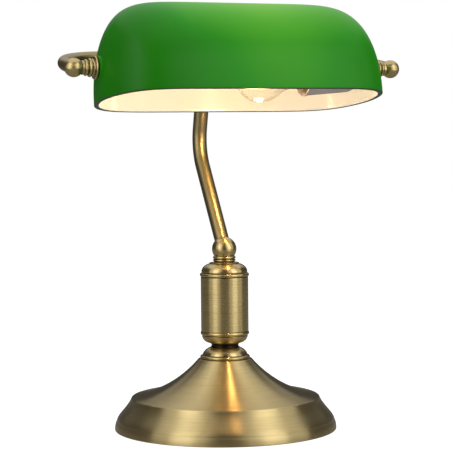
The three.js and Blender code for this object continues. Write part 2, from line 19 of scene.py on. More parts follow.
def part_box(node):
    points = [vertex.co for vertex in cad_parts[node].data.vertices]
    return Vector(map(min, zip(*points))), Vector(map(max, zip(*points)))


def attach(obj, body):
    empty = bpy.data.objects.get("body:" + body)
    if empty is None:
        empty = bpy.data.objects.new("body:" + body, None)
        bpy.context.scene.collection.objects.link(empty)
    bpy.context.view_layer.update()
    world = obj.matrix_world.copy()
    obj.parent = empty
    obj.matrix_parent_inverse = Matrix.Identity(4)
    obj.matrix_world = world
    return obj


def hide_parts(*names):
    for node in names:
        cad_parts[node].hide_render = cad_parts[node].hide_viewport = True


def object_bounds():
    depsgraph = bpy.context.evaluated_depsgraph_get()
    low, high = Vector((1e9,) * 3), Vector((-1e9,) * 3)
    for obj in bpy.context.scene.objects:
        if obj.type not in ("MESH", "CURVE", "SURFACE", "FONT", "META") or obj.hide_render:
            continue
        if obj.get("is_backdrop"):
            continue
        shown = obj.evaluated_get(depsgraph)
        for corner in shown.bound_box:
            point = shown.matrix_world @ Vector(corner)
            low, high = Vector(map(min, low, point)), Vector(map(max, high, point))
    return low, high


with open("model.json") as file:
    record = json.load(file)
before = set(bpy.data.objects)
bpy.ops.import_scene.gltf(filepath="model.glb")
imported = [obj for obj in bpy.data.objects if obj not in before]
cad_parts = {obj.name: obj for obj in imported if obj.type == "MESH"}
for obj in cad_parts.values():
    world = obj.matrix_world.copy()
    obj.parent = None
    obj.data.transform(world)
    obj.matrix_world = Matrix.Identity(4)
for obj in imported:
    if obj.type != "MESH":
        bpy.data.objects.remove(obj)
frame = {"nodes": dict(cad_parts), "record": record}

MM = 0.001
cad_low, cad_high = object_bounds()
cad_size = (cad_high - cad_low) / MM
print("CAD box, mm:", [round(side, 1) for side in cad_size])


def add_object(name, data):
    """Makes an object of some data and puts it in the scene."""
    made = bpy.data.objects.new(name, data)
    bpy.context.scene.collection.objects.link(made)
    return made

# %% [markdown]
# ## The camera first
#
# A product portrait is taken from well back with a long lens, so that the shade and the base keep
# their true sizes against each other. The camera stands to the left of the lamp and a little below
# the shade's rim, looks slightly down, and is turned a hair about its own axis.

# %% Camera
CAMERA_BEARING = math.radians(22)  # round from the front of the lamp, towards -X
CAMERA_DISTANCE = 1529.4
CAMERA_HEIGHT = 265.3
AIM_HEIGHT = 179.5
AIM_RIGHT = 1.8
CAMERA_ROLL = math.radians(0.5)
LENS = 138.4

camera_away = Vector((-math.sin(CAMERA_BEARING), -math.cos(CAMERA_BEARING), 0))
camera_right = Vector((math.cos(CAMERA_BEARING), -math.sin(CAMERA_BEARING), 0))
camera_point = camera_away * CAMERA_DISTANCE + Vector((0, 0, CAMERA_HEIGHT))
aim_point = camera_right * AIM_RIGHT + Vector((0, 0, AIM_HEIGHT))

camera_data = bpy.data.cameras.new("camera")
camera_data.lens = LENS
camera_data.sensor_width = 36
camera_data.clip_start = 0.05
camera_data.clip_end = 50
camera = add_object("camera", camera_data)
camera.location = camera_point * MM
looking = (aim_point - camera_point).to_track_quat("-Z", "Y").to_matrix()
camera.rotation_euler = (looking @ Matrix.Rotation(-CAMERA_ROLL, 3, "Z")).to_euler()
bpy.context.scene.camera = camera
print("camera at", [round(c) for c in camera_point], "mm, lens", LENS, "mm")

# %% [markdown]
# ## Building a material
#
# A material is a small network: numbers and colours flow through nodes into one shader. The class
# below keeps the wiring short, so that each finish further down reads as a list of what it is made
# of: noise on the object's own position, marks carried by the mesh, and ramps that turn a number
# into a colour.

# %% Node helpers
class Finish:
    """A material being built, with short ways to add noise, ramps, marks and bumps."""

    def __init__(self, name):
        self.material = bpy.data.materials.new(name)
        self.material.use_nodes = True
        self.nodes, self.links = self.material.node_tree.nodes, self.material.node_tree.links
        self.shader = self.nodes["Principled BSDF"]

    def feed(self, node, key, value):
        """Links another node's output to an input, or sets the input to a constant."""
        if isinstance(value, bpy.types.NodeSocket):
            self.links.new(value, node.inputs[key])
        else:
            node.inputs[key].default_value = value

    def node(self, kind, inputs=None, **settings):
        """Adds a node with its settings and inputs."""
        made = self.nodes.new("ShaderNode" + kind)
        for key, value in settings.items():
            setattr(made, key, value)
        for key, value in (inputs or {}).items():
            self.feed(made, key, value)
        return made

    def surface(self, inputs):
        """Feeds the shader and hands back the finished material."""
        for key, value in inputs.items():
            self.feed(self.shader, key, value)
        return self.material

    def place(self):
        """The point's own position on the object, in metres."""
        return self.node("TexCoord").outputs["Object"]

    def mark(self, name):
        """A number carried by the mesh."""
        return self.node("Attribute", attribute_name=name).outputs["Fac"]

    def noise(self, vector, scale, detail, roughness):
        """Noise on a vector, and the number that it gives."""
        inputs = {"Vector": vector, "Scale": scale, "Detail": detail, "Roughness": roughness}
        return self.node("TexNoise", inputs).outputs["Fac"]

    def ramp(self, value, *stops):
        """Colour ramp through (position, colour) stops."""
        made = self.node("ValToRGB", {"Fac": value})
        while len(made.color_ramp.elements) < len(stops):
            made.color_ramp.elements.new(0.5)
        for element, (position, colour) in zip(made.color_ramp.elements, stops):
            element.position, element.color = position, (*colour, 1)
        return made.outputs["Color"]

    def spread(self, value, low, high, low_in=0.0, high_in=1.0):
        """Carries a number from one range to another."""
        inputs = {"Value": value, "From Min": low_in, "From Max": high_in, "To Min": low, "To Max": high}
        return self.node("MapRange", inputs).outputs["Result"]

    def blended(self, share, first, second):
        """Mixes two colours by a share."""
        made = self.node("Mix", data_type="RGBA")
        for key, value in ((0, share), (6, first), (7, second)):
            self.feed(made, key, (*value, 1) if isinstance(value, tuple) else value)
        return made.outputs[2]

    def bump(self, height, distance, strength=1.0):
        """Tilts the shading by the slope of a height, in metres."""
        made = self.node("Bump", {"Height": height, "Distance": distance, "Strength": strength})
        self.feed(self.shader, "Normal", made.outputs["Normal"])

    def run_along(self, place, along):
        """A slowly changing place plus a fast run along the outline: noise on it makes round lines.
        The place is scaled by noise cells per metre, the run by cells per millimetre."""
        scaled = self.node("VectorMath", {0: place, "Scale": 25.0}, operation="SCALE")
        run = self.node("Math", {0: along, 1: 1.6}, operation="MULTIPLY")
        offset = self.node("CombineXYZ", {"Z": run.outputs[0]})
        return self.node("VectorMath", {0: scaled.outputs[0], 1: offset.outputs[0]}).outputs[0]


print("ready to build finishes")

# %% [markdown]
# ## Floor and light
#
# The lamp stands on a plain white floor. Only the camera sees it white: reflections see a dim grey,
# and from below it is clear. Polished metal shows what stands round it more than it shows its own
# colour, so the light is what makes brass look like brass. On each side stands a wide soft box with
# a narrow, brighter one in front of it, and the two together give the column a bright band that
# fades towards its edges. The dim room behind the camera gives the dark band between the two sides.
# One soft box overhead lights the top of the glass and the dish of the base, and one stands behind
# the lamp.

# %% Floor, room and soft boxes
bpy.context.scene.view_settings.view_transform = "Standard"

FLOOR_SIZE, FLOOR_DROP = 60.0, 0.0001
FLOOR_GLOW, FLOOR_LIFT = 0.04, 1.0
ROOM_GREY = 0.07
LIT_HEIGHT = 0.2
SOFT_BOXES = {  # bearing, distance, height, width, tall, brightness
    "box_left": (-50, 1.3, 0.7, 1.7, 1.6, 0.8),
    "box_left_core": (-46, 1.25, 0.7, 0.6, 1.5, 1.3),
    "box_right": (58, 1.3, 0.7, 2.1, 1.6, 0.85),
    "box_right_core": (52, 1.25, 0.7, 0.65, 1.5, 1.4),
    "box_above": (180, 0.3, 1.8, 3.0, 2.4, 0.9),
    "box_behind": (180, 1.8, 1.3, 2.4, 1.0, 0.55),
}


def floor_material():
    """Paper that is plain white to the camera, a dim grey in reflections and clear from below."""
    finish = Finish("floor_paper")
    to_camera = finish.node("LightPath").outputs["Is Camera Ray"]
    finish.surface({
        "Base Color": (0.3, 0.3, 0.3, 1),
        "Roughness": 0.9,
        "Specular IOR Level": 0.1,
        "Emission Color": (1, 1, 1, 1),
        "Emission Strength": finish.spread(to_camera, FLOOR_GLOW, FLOOR_LIFT),
    })
    underside = finish.node("NewGeometry").outputs["Backfacing"]
    paper, clear = finish.shader.outputs[0], finish.node("BsdfTransparent").outputs[0]
    either = finish.node("MixShader", {0: underside, 1: paper, 2: clear})
    finish.feed(finish.nodes["Material Output"], "Surface", either.outputs[0])
    return finish.material


def make_floor():
    """A square sheet a tenth of a millimetre under the lamp's felt."""
    half = FLOOR_SIZE / 2
    corners = [(x * half, y * half, -FLOOR_DROP) for x, y in ((-1, -1), (1, -1), (1, 1), (-1, 1))]
    mesh = bpy.data.meshes.new("floor")
    mesh.from_pydata(corners, [], [(0, 1, 2, 3)])
    mesh.materials.append(floor_material())
    floor = add_object("floor", mesh)
    floor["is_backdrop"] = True


def make_room():
    """White behind the lamp as the camera sees it, and a dim grey room in its reflections."""
    world = bpy.data.worlds.new("room")
    bpy.context.scene.world = world
    world.use_nodes = True
    nodes, links = world.node_tree.nodes, world.node_tree.links
    seen = nodes.new("ShaderNodeLightPath")
    shade_of_grey = nodes.new("ShaderNodeMapRange")
    shade_of_grey.inputs["To Min"].default_value = ROOM_GREY
    shade_of_grey.inputs["To Max"].default_value = 1.0
    links.new(seen.outputs["Is Camera Ray"], shade_of_grey.inputs["Value"])
    links.new(shade_of_grey.outputs["Result"], nodes["Background"].inputs["Strength"])
    nodes["Background"].inputs["Color"].default_value = (1, 1, 1, 1)


def soft_box(name, bearing, distance, height, width, tall, brightness):
    """A lit rectangle facing the lamp. Lengths are in metres, and the bearing is in degrees from the
    camera's side of the lamp, positive to the camera's right."""
    turn = math.radians(bearing)
    away = camera_away * math.cos(turn) + camera_right * math.sin(turn)
    light = bpy.data.lights.new(name, "AREA")
    light.shape = "RECTANGLE"
    light.size, light.size_y = width, tall
    light.energy = brightness * math.pi * width * tall
    holder = add_object(name, light)
    holder.location = away * distance + Vector((0, 0, height))
    towards_lamp = Vector((0, 0, LIT_HEIGHT)) - holder.location
    holder.rotation_euler = towards_lamp.to_track_quat("-Z", "Y").to_euler()


make_floor()
make_room()
for box_name, box_numbers in SOFT_BOXES.items():
    soft_box(box_name, *box_numbers)
print(len(SOFT_BOXES), "soft boxes, room grey", ROOM_GREY)

# %% [markdown]
# ## Side views and how they are smoothed
#
# Almost every brass piece was turned on a lathe, so it is drawn as a side view: radius against
# height. Straight lines, arcs and Bezier curves are joined into one outline. Real corners are never
# razor sharp, so each one is rounded a fraction of a millimetre, and that tiny round is what catches
# the light along an edge.

# %% Outline helpers
SHARP_TURN = math.radians(14)
LONG_STRETCH, NEAR_CORNER, CLOSEST = 1.2, 0.25, 0.04


def bezier(a, b, c, d, steps=18):
    """Cubic curve from a to d, drawn towards b and c: the four points in Bernstein weights."""
    t = np.linspace(0, 1, steps + 1)[:, None]
    a, b, c, d = (np.array(p, float) for p in (a, b, c, d))
    return (1 - t) ** 3 * a + 3 * t * (1 - t) ** 2 * b + 3 * t**2 * (1 - t) * c + t**3 * d


def bow(a, b, c, steps=10):
    """Quadratic curve from a to c, drawn towards b."""
    t = np.linspace(0, 1, steps + 1)[:, None]
    a, b, c = (np.array(p, float) for p in (a, b, c))
    return (1 - t) ** 2 * a + 2 * t * (1 - t) * b + t**2 * c


def arc(centre, radius, start, end, steps=14):
    """Part of a circle between two angles in degrees: centre plus radius times (cos, sin)."""
    turn = np.radians(np.linspace(start, end, steps + 1))
    return np.array(centre, float) + radius * np.stack([np.cos(turn), np.sin(turn)], 1)


def outline(*parts):
    """Joins points and curves end to end, and drops points that repeat."""
    joined = np.vstack([np.atleast_2d(np.array(part, float)) for part in parts])
    steps = np.linalg.norm(np.diff(joined, axis=0), axis=1)
    return joined[np.r_[True, steps > 1e-4]]


def block(inner, outer, low, high):
    """Side view of a plain ring or disc: two radii and two heights."""
    return np.array([[inner, low], [outer, low], [outer, high], [inner, high]])


def softened(points, radius, closed=True):
    """Rounds each corner that turns more than 14 degrees: it becomes a quadratic curve between
    points `radius` back along its two sides, or less where a side is short."""
    into = points - np.roll(points, 1, 0)
    onward = np.roll(into, -1, 0)
    into_length = np.linalg.norm(into, axis=1)[:, None] + 1e-9
    onward_length = np.linalg.norm(onward, axis=1)[:, None] + 1e-9
    cosine = (into * onward).sum(1)[:, None] / (into_length * onward_length)
    reach = np.minimum(radius, 0.42 * np.minimum(into_length, onward_length))
    reach = np.where(cosine < math.cos(SHARP_TURN), reach, 0)
    if not closed:
        reach[[0, -1]] = 0
    start = points - into / into_length * reach
    end = points + onward / onward_length * reach
    t = np.linspace(0, 1, 6)[None, :, None]
    curved = (1 - t) ** 2 * start[:, None] + 2 * t * (1 - t) * points[:, None] + t**2 * end[:, None]
    return outline(curved.reshape(-1, 2))


def refined(points, longest, closed=True):
    """Adds points along straight stretches: one every `longest`, and one close to each end, so
    that the shading of a rounded corner doesn't leak across the flat beside it."""
    loop = np.vstack([points, points[:1]]) if closed else points
    lengths = np.linalg.norm(np.diff(loop, axis=0), axis=1)
    at = np.r_[0, np.cumsum(lengths)]
    long = lengths > LONG_STRETCH
    extra = [at[:-1][long] + NEAR_CORNER, at[1:][long] - NEAR_CORNER, np.arange(0, at[-1], longest)]
    wanted = np.sort(np.concatenate([at, *extra]))
    wanted = wanted[np.r_[True, np.diff(wanted) > CLOSEST]]
    if closed:
        wanted = wanted[wanted < at[-1] - CLOSEST]
    return np.stack([np.interp(wanted, at, loop[:, k]) for k in (0, 1)], 1)


print("a softened square has", len(softened(block(0, 4, 0, 4), 0.35)), "points")

# %% [markdown]
# ## From a grid of points to a piece
#
# Every surface here is a grid: rows run along an outline or a path, and columns run round. One
# function joins neighbours into faces, closes the seams and the poles, and checks by the enclosed
# volume that the faces point outwards. Each point also carries numbers that the finishes read: on
# metal, how far it lies along the outline and how deep it sits in a hollow; on the glass, the glow.

# %% Grid to mesh
body_of = {name: body for body, names in frame["record"]["behaviour"]["bodies"].items() for name in names}
made_pieces = []


def grid_corners(rows, columns, wrap_rows):
    """Row and column of the four corners of every cell, before wrapping: two arrays of (cell, 4).
    Columns always run all the way round."""
    row = np.arange(rows if wrap_rows else rows - 1)
    row, column = (a.reshape(-1, 1) for a in np.meshgrid(row, np.arange(columns), indexing="ij"))
    return row + np.array([[0, 0, 1, 1]]), column + np.array([[0, 1, 1, 0]])


def enclosed_volume(points, faces):
    """Sum over triangles of the signed volume they make with the origin."""
    a, b, c, d = (points[faces[:, k]] for k in range(4))
    first = np.einsum("ij,ij->i", a, np.cross(b, c)).sum()
    return (first + np.einsum("ij,ij->i", a, np.cross(c, d)).sum()) / 6


def grid_piece(name, grid, marks, wrap_rows=True, finish_of_column=None):
    """Makes an object from a grid of points in millimetres. Points that coincide, as at a pole, are
    welded. `marks` holds named numbers, one for each point; `finish_of_column` gives the number of
    the material for the cells that start at each column."""
    rows, columns = grid.shape[:2]
    row, column = grid_corners(rows, columns, wrap_rows)
    finish = None if finish_of_column is None else finish_of_column[column.min(1)]
    places = np.round(grid.reshape(-1, 3), 4)
    welded, first, index_of = np.unique(places, axis=0, return_index=True, return_inverse=True)
    index = index_of.reshape(-1)[(row % rows) * columns + column % columns]
    if enclosed_volume(welded, index) < 0:
        row, column, index = row[:, ::-1], column[:, ::-1], index[:, ::-1]
    keep = index != np.roll(index, 1, axis=1)
    whole = keep.sum(1) > 2
    faces = [corners[kept].tolist() for corners, kept in zip(index[whole], keep[whole])]
    mesh = bpy.data.meshes.new(name)
    mesh.from_pydata(welded * MM, [], faces)
    mesh.polygons.foreach_set("use_smooth", np.ones(len(faces), bool))
    chart = np.stack([column / columns, row / rows], -1)[whole][keep[whole]]
    mesh.uv_layers.new(name="around").data.foreach_set("uv", chart.astype(np.float32).ravel())
    for mark_name, values in marks.items():
        layer = mesh.attributes.new(mark_name, "FLOAT", "POINT")
        layer.data.foreach_set("value", values.reshape(-1)[first].astype(np.float32))
    if finish is not None:
        mesh.polygons.foreach_set("material_index", finish[whole].astype(np.int32))
    mesh.update()
    return add_object(name, mesh)


def dress(piece, slot, *materials, node):
    """Gives a piece its finishes and its place among the bodies, and hides the CAD node it stands for."""
    for material in materials:
        piece.data.materials.append(material)
    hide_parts(node)
    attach(piece, body_of[node])
    made_pieces.append(piece)
    return piece


# %% [markdown]
# ## Turning, sweeping and the hexagon
#
# A lathe carries the outline round an axis. A tube carries a circle along a path that lies in one
# plane, so the direction square to that plane never changes and the tube can't twist; only the
# filament's coil brings a direction of its own for each point. A nut is a
# lathe piece whose radius changes with the angle: the distance to a flat side is the apothem
# divided by the cosine of the angle from the middle of that side.

# %% Lathe, sweep and nut
DEEPEST_HOLLOW = 0.45
CHAMFER = math.radians(30)


def axes_along(direction):
    """Three square directions, the last along `direction`, as rows."""
    up = np.array(direction, float) / np.linalg.norm(direction)
    side = np.cross([0, 1, 0] if abs(up[1]) < 0.9 else [1, 0, 0], up)
    side /= np.linalg.norm(side)
    return np.array([side, np.cross(up, side), up])


def depth_in_hollow(profile, reach=1.3):
    """0 on flats and ridges, up to 1 in a groove: how far the point lies below the middle of the
    chord that joins the outline `reach` before it and `reach` after it."""
    loop = np.vstack([profile, profile[:1]])
    at = np.r_[0, np.cumsum(np.linalg.norm(np.diff(loop, axis=0), axis=1))]
    here = at[:-1]
    near = [np.stack([np.interp((here + d) % at[-1], at, loop[:, k]) for k in (0, 1)], 1)
            for d in (-reach, reach)]
    tangent = near[1] - near[0]
    x, y = profile.T
    area = np.sum(x * np.roll(y, -1) - np.roll(x, -1) * y)
    outward = np.stack([tangent[:, 1], -tangent[:, 0]], 1) * np.sign(area)
    outward /= np.linalg.norm(outward, axis=1)[:, None] + 1e-9
    depth = np.einsum("ij,ij->i", (near[0] + near[1]) / 2 - profile, outward)
    return np.clip(depth / DEEPEST_HOLLOW, 0, 1), here


def turned(name, profile, origin=(0, 0, 0), axis=(0, 0, 1), sides=96, closed=True, longest=2.0,
           corner=0.35, radius_at=None):
    """Carries a (radius, height) outline round an axis: origin + radius (cos, sin) + height."""
    profile = refined(softened(profile, corner, closed), longest, closed)
    hollow, along = depth_in_hollow(profile)
    turn = np.arange(sides) * 2 * np.pi / sides
    side, across, up = axes_along(axis)
    radius = np.repeat(profile[:, :1], sides, 1)
    if radius_at is not None:
        radius = radius_at(radius, profile[:, 1:], turn[None, :])
    ring = radius[..., None] * (np.cos(turn)[:, None] * side + np.sin(turn)[:, None] * across)
    grid = np.array(origin, float) + ring + profile[:, None, 1:] * up
    marks = {mark: np.repeat(values[:, None], sides, 1)
             for mark, values in (("hollow", hollow), ("along", along))}
    return grid_piece(name, grid, marks, closed)


def arc_between(centre, start, end, steps):
    """Points of the circular arc from start to end: the two spokes mixed by the sine rule."""
    from_, to = start - centre, end - centre
    sweep = math.acos(from_ @ to / (np.linalg.norm(from_) * np.linalg.norm(to)))
    t = np.linspace(0, 1, steps + 1)[:, None]
    return centre + (np.sin((1 - t) * sweep) * from_ + np.sin(t * sweep) * to) / math.sin(sweep)


def rounded_path(corners, radius, steps=40, spacing=4.0):
    """Straight lines through the corners, each inner corner replaced by an arc that touches both."""
    corners = [np.array(c, float) for c in corners]
    path = [corners[:1]]
    last = corners[0]
    for before, here, after in zip(corners, corners[1:], corners[2:]):
        back = (before - here) / np.linalg.norm(before - here)
        ahead = (after - here) / np.linalg.norm(after - here)
        half = math.acos(np.clip(back @ ahead, -1, 1)) / 2
        enter, leave = here + back * radius / math.tan(half), here + ahead * radius / math.tan(half)
        inward = (back + ahead) / np.linalg.norm(back + ahead)
        path += [straight(last, enter, spacing), arc_between(here + inward * radius / math.sin(half),
                                                              enter, leave, steps)]
        last = leave
    path.append(straight(last, corners[-1], spacing))
    joined = np.vstack(path)
    return joined[np.r_[True, np.linalg.norm(np.diff(joined, axis=0), axis=1) > 1e-4]]


def straight(start, end, spacing):
    """Evenly spaced points from start to end."""
    count = max(2, int(np.linalg.norm(end - start) / spacing) + 1)
    return start + (end - start) * np.linspace(0, 1, count)[:, None]


def swept_tube(name, path, square, radius, wall=None, sides=64, end_shape=None):
    """Carries a circle along a path. `square` is a direction, or one for each point, that the
    circle starts from; it is made square to the path. With a wall the tube is hollow: outer skin,
    end face, bore and other end face are one closed grid. `end_shape` moves the last ring."""
    ahead = np.gradient(path, axis=0)
    ahead /= np.linalg.norm(ahead, axis=1)[:, None]
    square = np.broadcast_to(np.array(square, float), path.shape)
    square = square - (square * ahead).sum(1)[:, None] * ahead
    square = square / np.linalg.norm(square, axis=1)[:, None]
    across = np.cross(ahead, square)
    turn = np.arange(sides) * 2 * np.pi / sides
    spokes = np.cos(turn)[:, None] * square[:, None] + np.sin(turn)[:, None] * across[:, None]

    def skin(size):
        rings = path[:, None] + size * spokes
        if end_shape is not None:
            rings[-1] += end_shape(turn, size)[:, None] * ahead[-1]
        return rings

    if wall is None:
        centre = np.zeros_like(spokes[:1])
        grid = np.concatenate([path[:1, None] + centre, skin(radius), path[-1:, None] + centre])
    else:
        grid = np.concatenate([skin(radius), skin(radius - wall)[::-1]])
    lengths = np.r_[0, np.cumsum(np.linalg.norm(np.diff(grid[:, 0], axis=0), axis=1))]
    marks = {"along": np.repeat(lengths[:, None], sides, 1), "hollow": np.zeros(grid.shape[:2])}
    return grid_piece(name, grid, marks, wall is not None)


def hexagonal(apothem, low, high, bore):
    """Radius rule for a nut: the flat sides, cut back at 30 degrees towards the two faces."""
    def radius_at(radius, height, turn):
        off_side = (turn + math.pi / 6) % (math.pi / 3) - math.pi / 6
        flats = apothem / np.cos(off_side)
        from_face = np.minimum(height - low, high - height)
        chamfer = apothem + 0.1 + from_face / math.tan(CHAMFER)
        sides_and_chamfer = np.minimum(np.minimum(radius / apothem * flats, flats), chamfer)
        return np.where(radius > bore + 0.6, sides_and_chamfer, radius)

    return radius_at


def box_mm(node):
    """A CAD node's lowest and highest corners, in millimetres."""
    low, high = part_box(node)
    return np.array(low) / MM, np.array(high) / MM


print("the arm spans", (box_mm("arm_tube")[1] - box_mm("arm_tube")[0]).round(1), "mm")

# %% [markdown]
# ## Antique brass
#
# Antique brass is bright brass that has been darkened and then brushed back while it turned. Three
# things show: fine lines round the axis, a brown patina left in the grooves, and highlights that
# are drawn out across the brush lines. The stretched highlight is the shader's anisotropy, with its
# tangent taken from the chart that runs round each piece. The lines and the clouding are noise on
# the object's own position, pushed along by how far the point lies along the outline, so nothing
# jumps at the seam.

# %% Brass
def brass(name, bright, dark, roughness, stretch, line_depth):
    """Brushed and darkened brass. `stretch` is the anisotropy, `line_depth` the depth of the brush
    lines in metres."""
    finish = Finish(name)
    place = finish.place()
    lines = finish.noise(finish.run_along(place, finish.mark("along")), 1.0, 3.0, 0.7)
    clouds = finish.noise(place, 38.0, 4.0, 0.55)
    body = finish.ramp(lines, (0.25, dark), (0.62, bright))
    clouded = finish.blended(finish.spread(clouds, 0.0, 0.28, 0.35, 0.75), body, dark)
    patina = tuple(0.22 * part for part in dark)
    grooves = finish.spread(finish.mark("hollow"), 0.0, 0.85, 0.15, 1.0)
    tangent = finish.node("Tangent", direction_type="UV_MAP", uv_map="around")
    finish.bump(lines, line_depth)
    return finish.surface({
        "Base Color": finish.blended(grooves, clouded, patina),
        "Roughness": finish.spread(lines, roughness + 0.012, roughness - 0.01, 0.3, 0.7),
        "Metallic": 1.0,
        "Anisotropic": stretch,
        "Anisotropic Rotation": 0.25,
        "Tangent": tangent.outputs["Tangent"],
    })


turned_brass = brass("turned_brass", (0.63, 0.495, 0.235), (0.46, 0.345, 0.14), 0.27, 0.82, 0.000002)
spun_brass = brass("spun_brass", (0.6, 0.475, 0.235), (0.48, 0.37, 0.165), 0.34, 0.98, 0.000003)
drawn_brass = brass("drawn_brass", (0.38, 0.295, 0.135), (0.34, 0.26, 0.12), 0.34, 0.3, 0.0000001)
# Near-black brass for the spool, which shows as the dark band under the cup.
near_black_spool_brass = brass("near_black_spool_brass", (0.05, 0.04, 0.025), (0.02, 0.016, 0.01), 0.35, 0.5, 0.00001)
print("four brasses")

# %% [markdown]
# ## Base
#
# The base is spun from one disc of brass: a foot band, a crease, a hollow flank up to a thin ridge,
# then a dish that rises as a cone to the column. It is hollow, 1.5 mm thick, and covers a cast iron
# weight that keeps the lamp on its feet. The outer skin and the inner skin are one closed outline.

# %% Base shell, felt and gland
base_low, base_high = box_mm("base_shell")
BASE_RADIUS = base_high[0]
FOOT_Z, CROWN_Z = base_low[2], base_high[2]
BORE, WALL = 5.3, 1.5
RIDGE_RADIUS, RIDGE_Z = 83.2, 29.0
CROWN_RADIUS, BAND_TOP_Z = 23.6, 8.4


def base_skin(inset):
    """Side view of the base from its foot to the hole in its crown, drawn in by `inset`."""
    foot, ridge, dish = BASE_RADIUS - inset, RIDGE_RADIUS - inset, RIDGE_Z - inset
    crease = [foot - 1.6, BAND_TOP_Z]
    return outline(
        bow([foot, FOOT_Z], [foot + 0.2, 5], crease, 8),
        bezier(crease, [foot - 2.2, 13], [ridge + 4.3, 19], [ridge + 0.4, dish - 1.6], 24),
        bow([ridge + 0.4, dish - 1.6], [ridge, dish], [ridge - 1.4, dish], 6),
        bezier([ridge - 1.4, dish], [60 - inset, 31.6 - inset], [38 - inset, 45.4 - inset],
               [CROWN_RADIUS - inset, CROWN_Z - inset], 60),
        [BORE, CROWN_Z - inset],
    )


skin = outline(base_skin(0), base_skin(WALL)[::-1])
base = turned("base_shell_skin", skin, sides=224, corner=0.45, longest=1.6)
dress(base, "antique_brass", spun_brass, node="base_shell")
print("base", round(2 * BASE_RADIUS, 1), "mm across,", len(base.data.polygons), "faces")

# %% [markdown]
# The felt under the base is a thick disc with a slightly round edge. Felt has no shine, only
# a soft sheen from fibres that stand up, and its colour is mottled. The gland is the rubber bush at
# the back of the skirt, where a supply lead would come out.

# %% Felt and gland
def cloth_finish(name, light, dark, scale, depth):
    """Short tangled fibres: noise in colour and bump, fully rough, with sheen."""
    finish = Finish(name)
    fibres = finish.noise(finish.place(), scale, 8.0, 0.75)
    finish.bump(fibres, depth)
    return finish.surface({
        "Base Color": finish.ramp(fibres, (0.3, dark), (0.7, light)),
        "Roughness": 0.95,
        "Sheen Weight": 0.4,
        "Sheen Roughness": 0.5,
    })


def plain_finish(name, light, dark, scale, roughness, metallic=0.0, depth=0.00005):
    """Uneven paint, casting, plating or moulding: noise shifts the colour, the gloss and the bump."""
    finish = Finish(name)
    place = finish.place()
    coarse = finish.noise(place, scale, 6.0, 0.6)
    fine = finish.noise(place, scale * 7, 3.0, 0.5)
    finish.bump(fine, depth)
    return finish.surface({
        "Base Color": finish.ramp(coarse, (0.3, dark), (0.7, light)),
        "Roughness": finish.spread(fine, roughness - 0.07, roughness + 0.07, 0.3, 0.7),
        "Metallic": metallic,
    })


felt = cloth_finish("green_felt", (0.03, 0.055, 0.035), (0.008, 0.016, 0.01), 900.0, 0.0004)
rubber = plain_finish("black_rubber", (0.03, 0.03, 0.03), (0.012, 0.012, 0.013), 300.0, 0.6)

felt_low, felt_high = box_mm("base_felt")
felt_side = block(0, felt_high[0], felt_low[2], felt_high[2])
felt_pad = turned("felt_pad", felt_side, sides=192, closed=False, corner=0.6, longest=4.0)
dress(felt_pad, "felt", felt, node="base_felt")

gland_low, gland_high = box_mm("cord_gland")
GLAND_Z = (gland_low[2] + gland_high[2]) / 2
inner_end, outer_end = gland_low[1], gland_high[1]
gland_side = outline(
    [[3, inner_end], [5.4, inner_end], [5.4, inner_end + 2.2], [4, inner_end + 2.6]],
    [[4, outer_end - 2.5], [6, outer_end - 2.5]],
    bow([6, outer_end - 2.5], [6, outer_end - 0.2], [4.9, outer_end]),
    [3, outer_end],
)
gland = turned("rubber_gland", gland_side, (0, 0, GLAND_Z), (0, 1, 0), sides=72, longest=1.0)
dress(gland, "black_rubber", rubber, node="cord_gland")
print("felt", round(2 * felt_high[0]), "mm across; gland", round(outer_end - inner_end, 1), "mm long")

# %% [markdown]
# ## Column
#
# The column is a stack of separate turned pieces, threaded like beads on a steel tube that runs from
# the base up to the ball: bell collar, spool, cup, barrel, domed cap, washer, two beads, ball. The
# joints between them are real gaps of 0.3 mm, and show as fine dark lines. The spool is drawn near
# black all over, as the dark band under the cup; the others are turned brass.

# %% Column pieces
def foot_and_top(node):
    """Heights of a CAD node's lower and upper end, in millimetres."""
    low, high = box_mm(node)
    return low[2], high[2]


def column_piece(node, name, profile, material=turned_brass, **options):
    """Turns an outline about the lamp's axis and dresses it in a brass."""
    return dress(turned(name, profile, sides=144, **options), "antique_brass", material, node=node)


foot, top = foot_and_top("neck_collar")
column_piece("neck_collar", "bell_collar", outline(
    [BORE, foot], [20.6, foot],
    arc([20.6, foot + 1.4], 1.4, -90, 90),
    [20.1, foot + 2.9], [19.9, foot + 3.3],
    bezier([19.9, foot + 3.3], [19.2, 69.2], [15.6, 71.6], [13.2, top]),
    [BORE, top],
))

foot, top = foot_and_top("neck_spool")
column_piece("neck_spool", "spool", outline(
    [BORE, foot], [12.6, foot],
    bow([12.6, foot], [11.3, (foot + top) / 2], [12.6, top]),
    [BORE, top],
), near_black_spool_brass)

foot, top = foot_and_top("column_cup")
cup_lip = box_mm("column_cup")[1][0]
column_piece("column_cup", "cup", outline(
    [BORE, foot], [13, foot],
    bezier([13, foot], [18, foot + 0.8], [19.9, foot + 3.3], [20.3, foot + 6.6]),
    [20.2, foot + 7.1], [cup_lip - 0.7, foot + 7.5],
    bow([cup_lip - 0.7, foot + 7.5], [cup_lip + 0.7, (foot + 7.5 + top) / 2], [cup_lip - 0.7, top]),
    [BORE, top],
))

foot, top = foot_and_top("column_barrel")
barrel = box_mm("column_barrel")[1][0]
column_piece("column_barrel", "barrel", block(barrel - 2, barrel, foot, top), longest=1.0)

foot, top = foot_and_top("column_cap")
column_piece("column_cap", "domed_cap", outline(
    [BORE, foot], [20.2, foot],
    arc([20.2, foot + 1.6], 1.6, -90, 90),
    [20.0, foot + 3.4], [20.3, foot + 4.0],
    bezier([20.3, foot + 4.0], [20.4, foot + 7.7], [17.4, top - 1.2], [12.6, top]),
    [BORE, top],
))

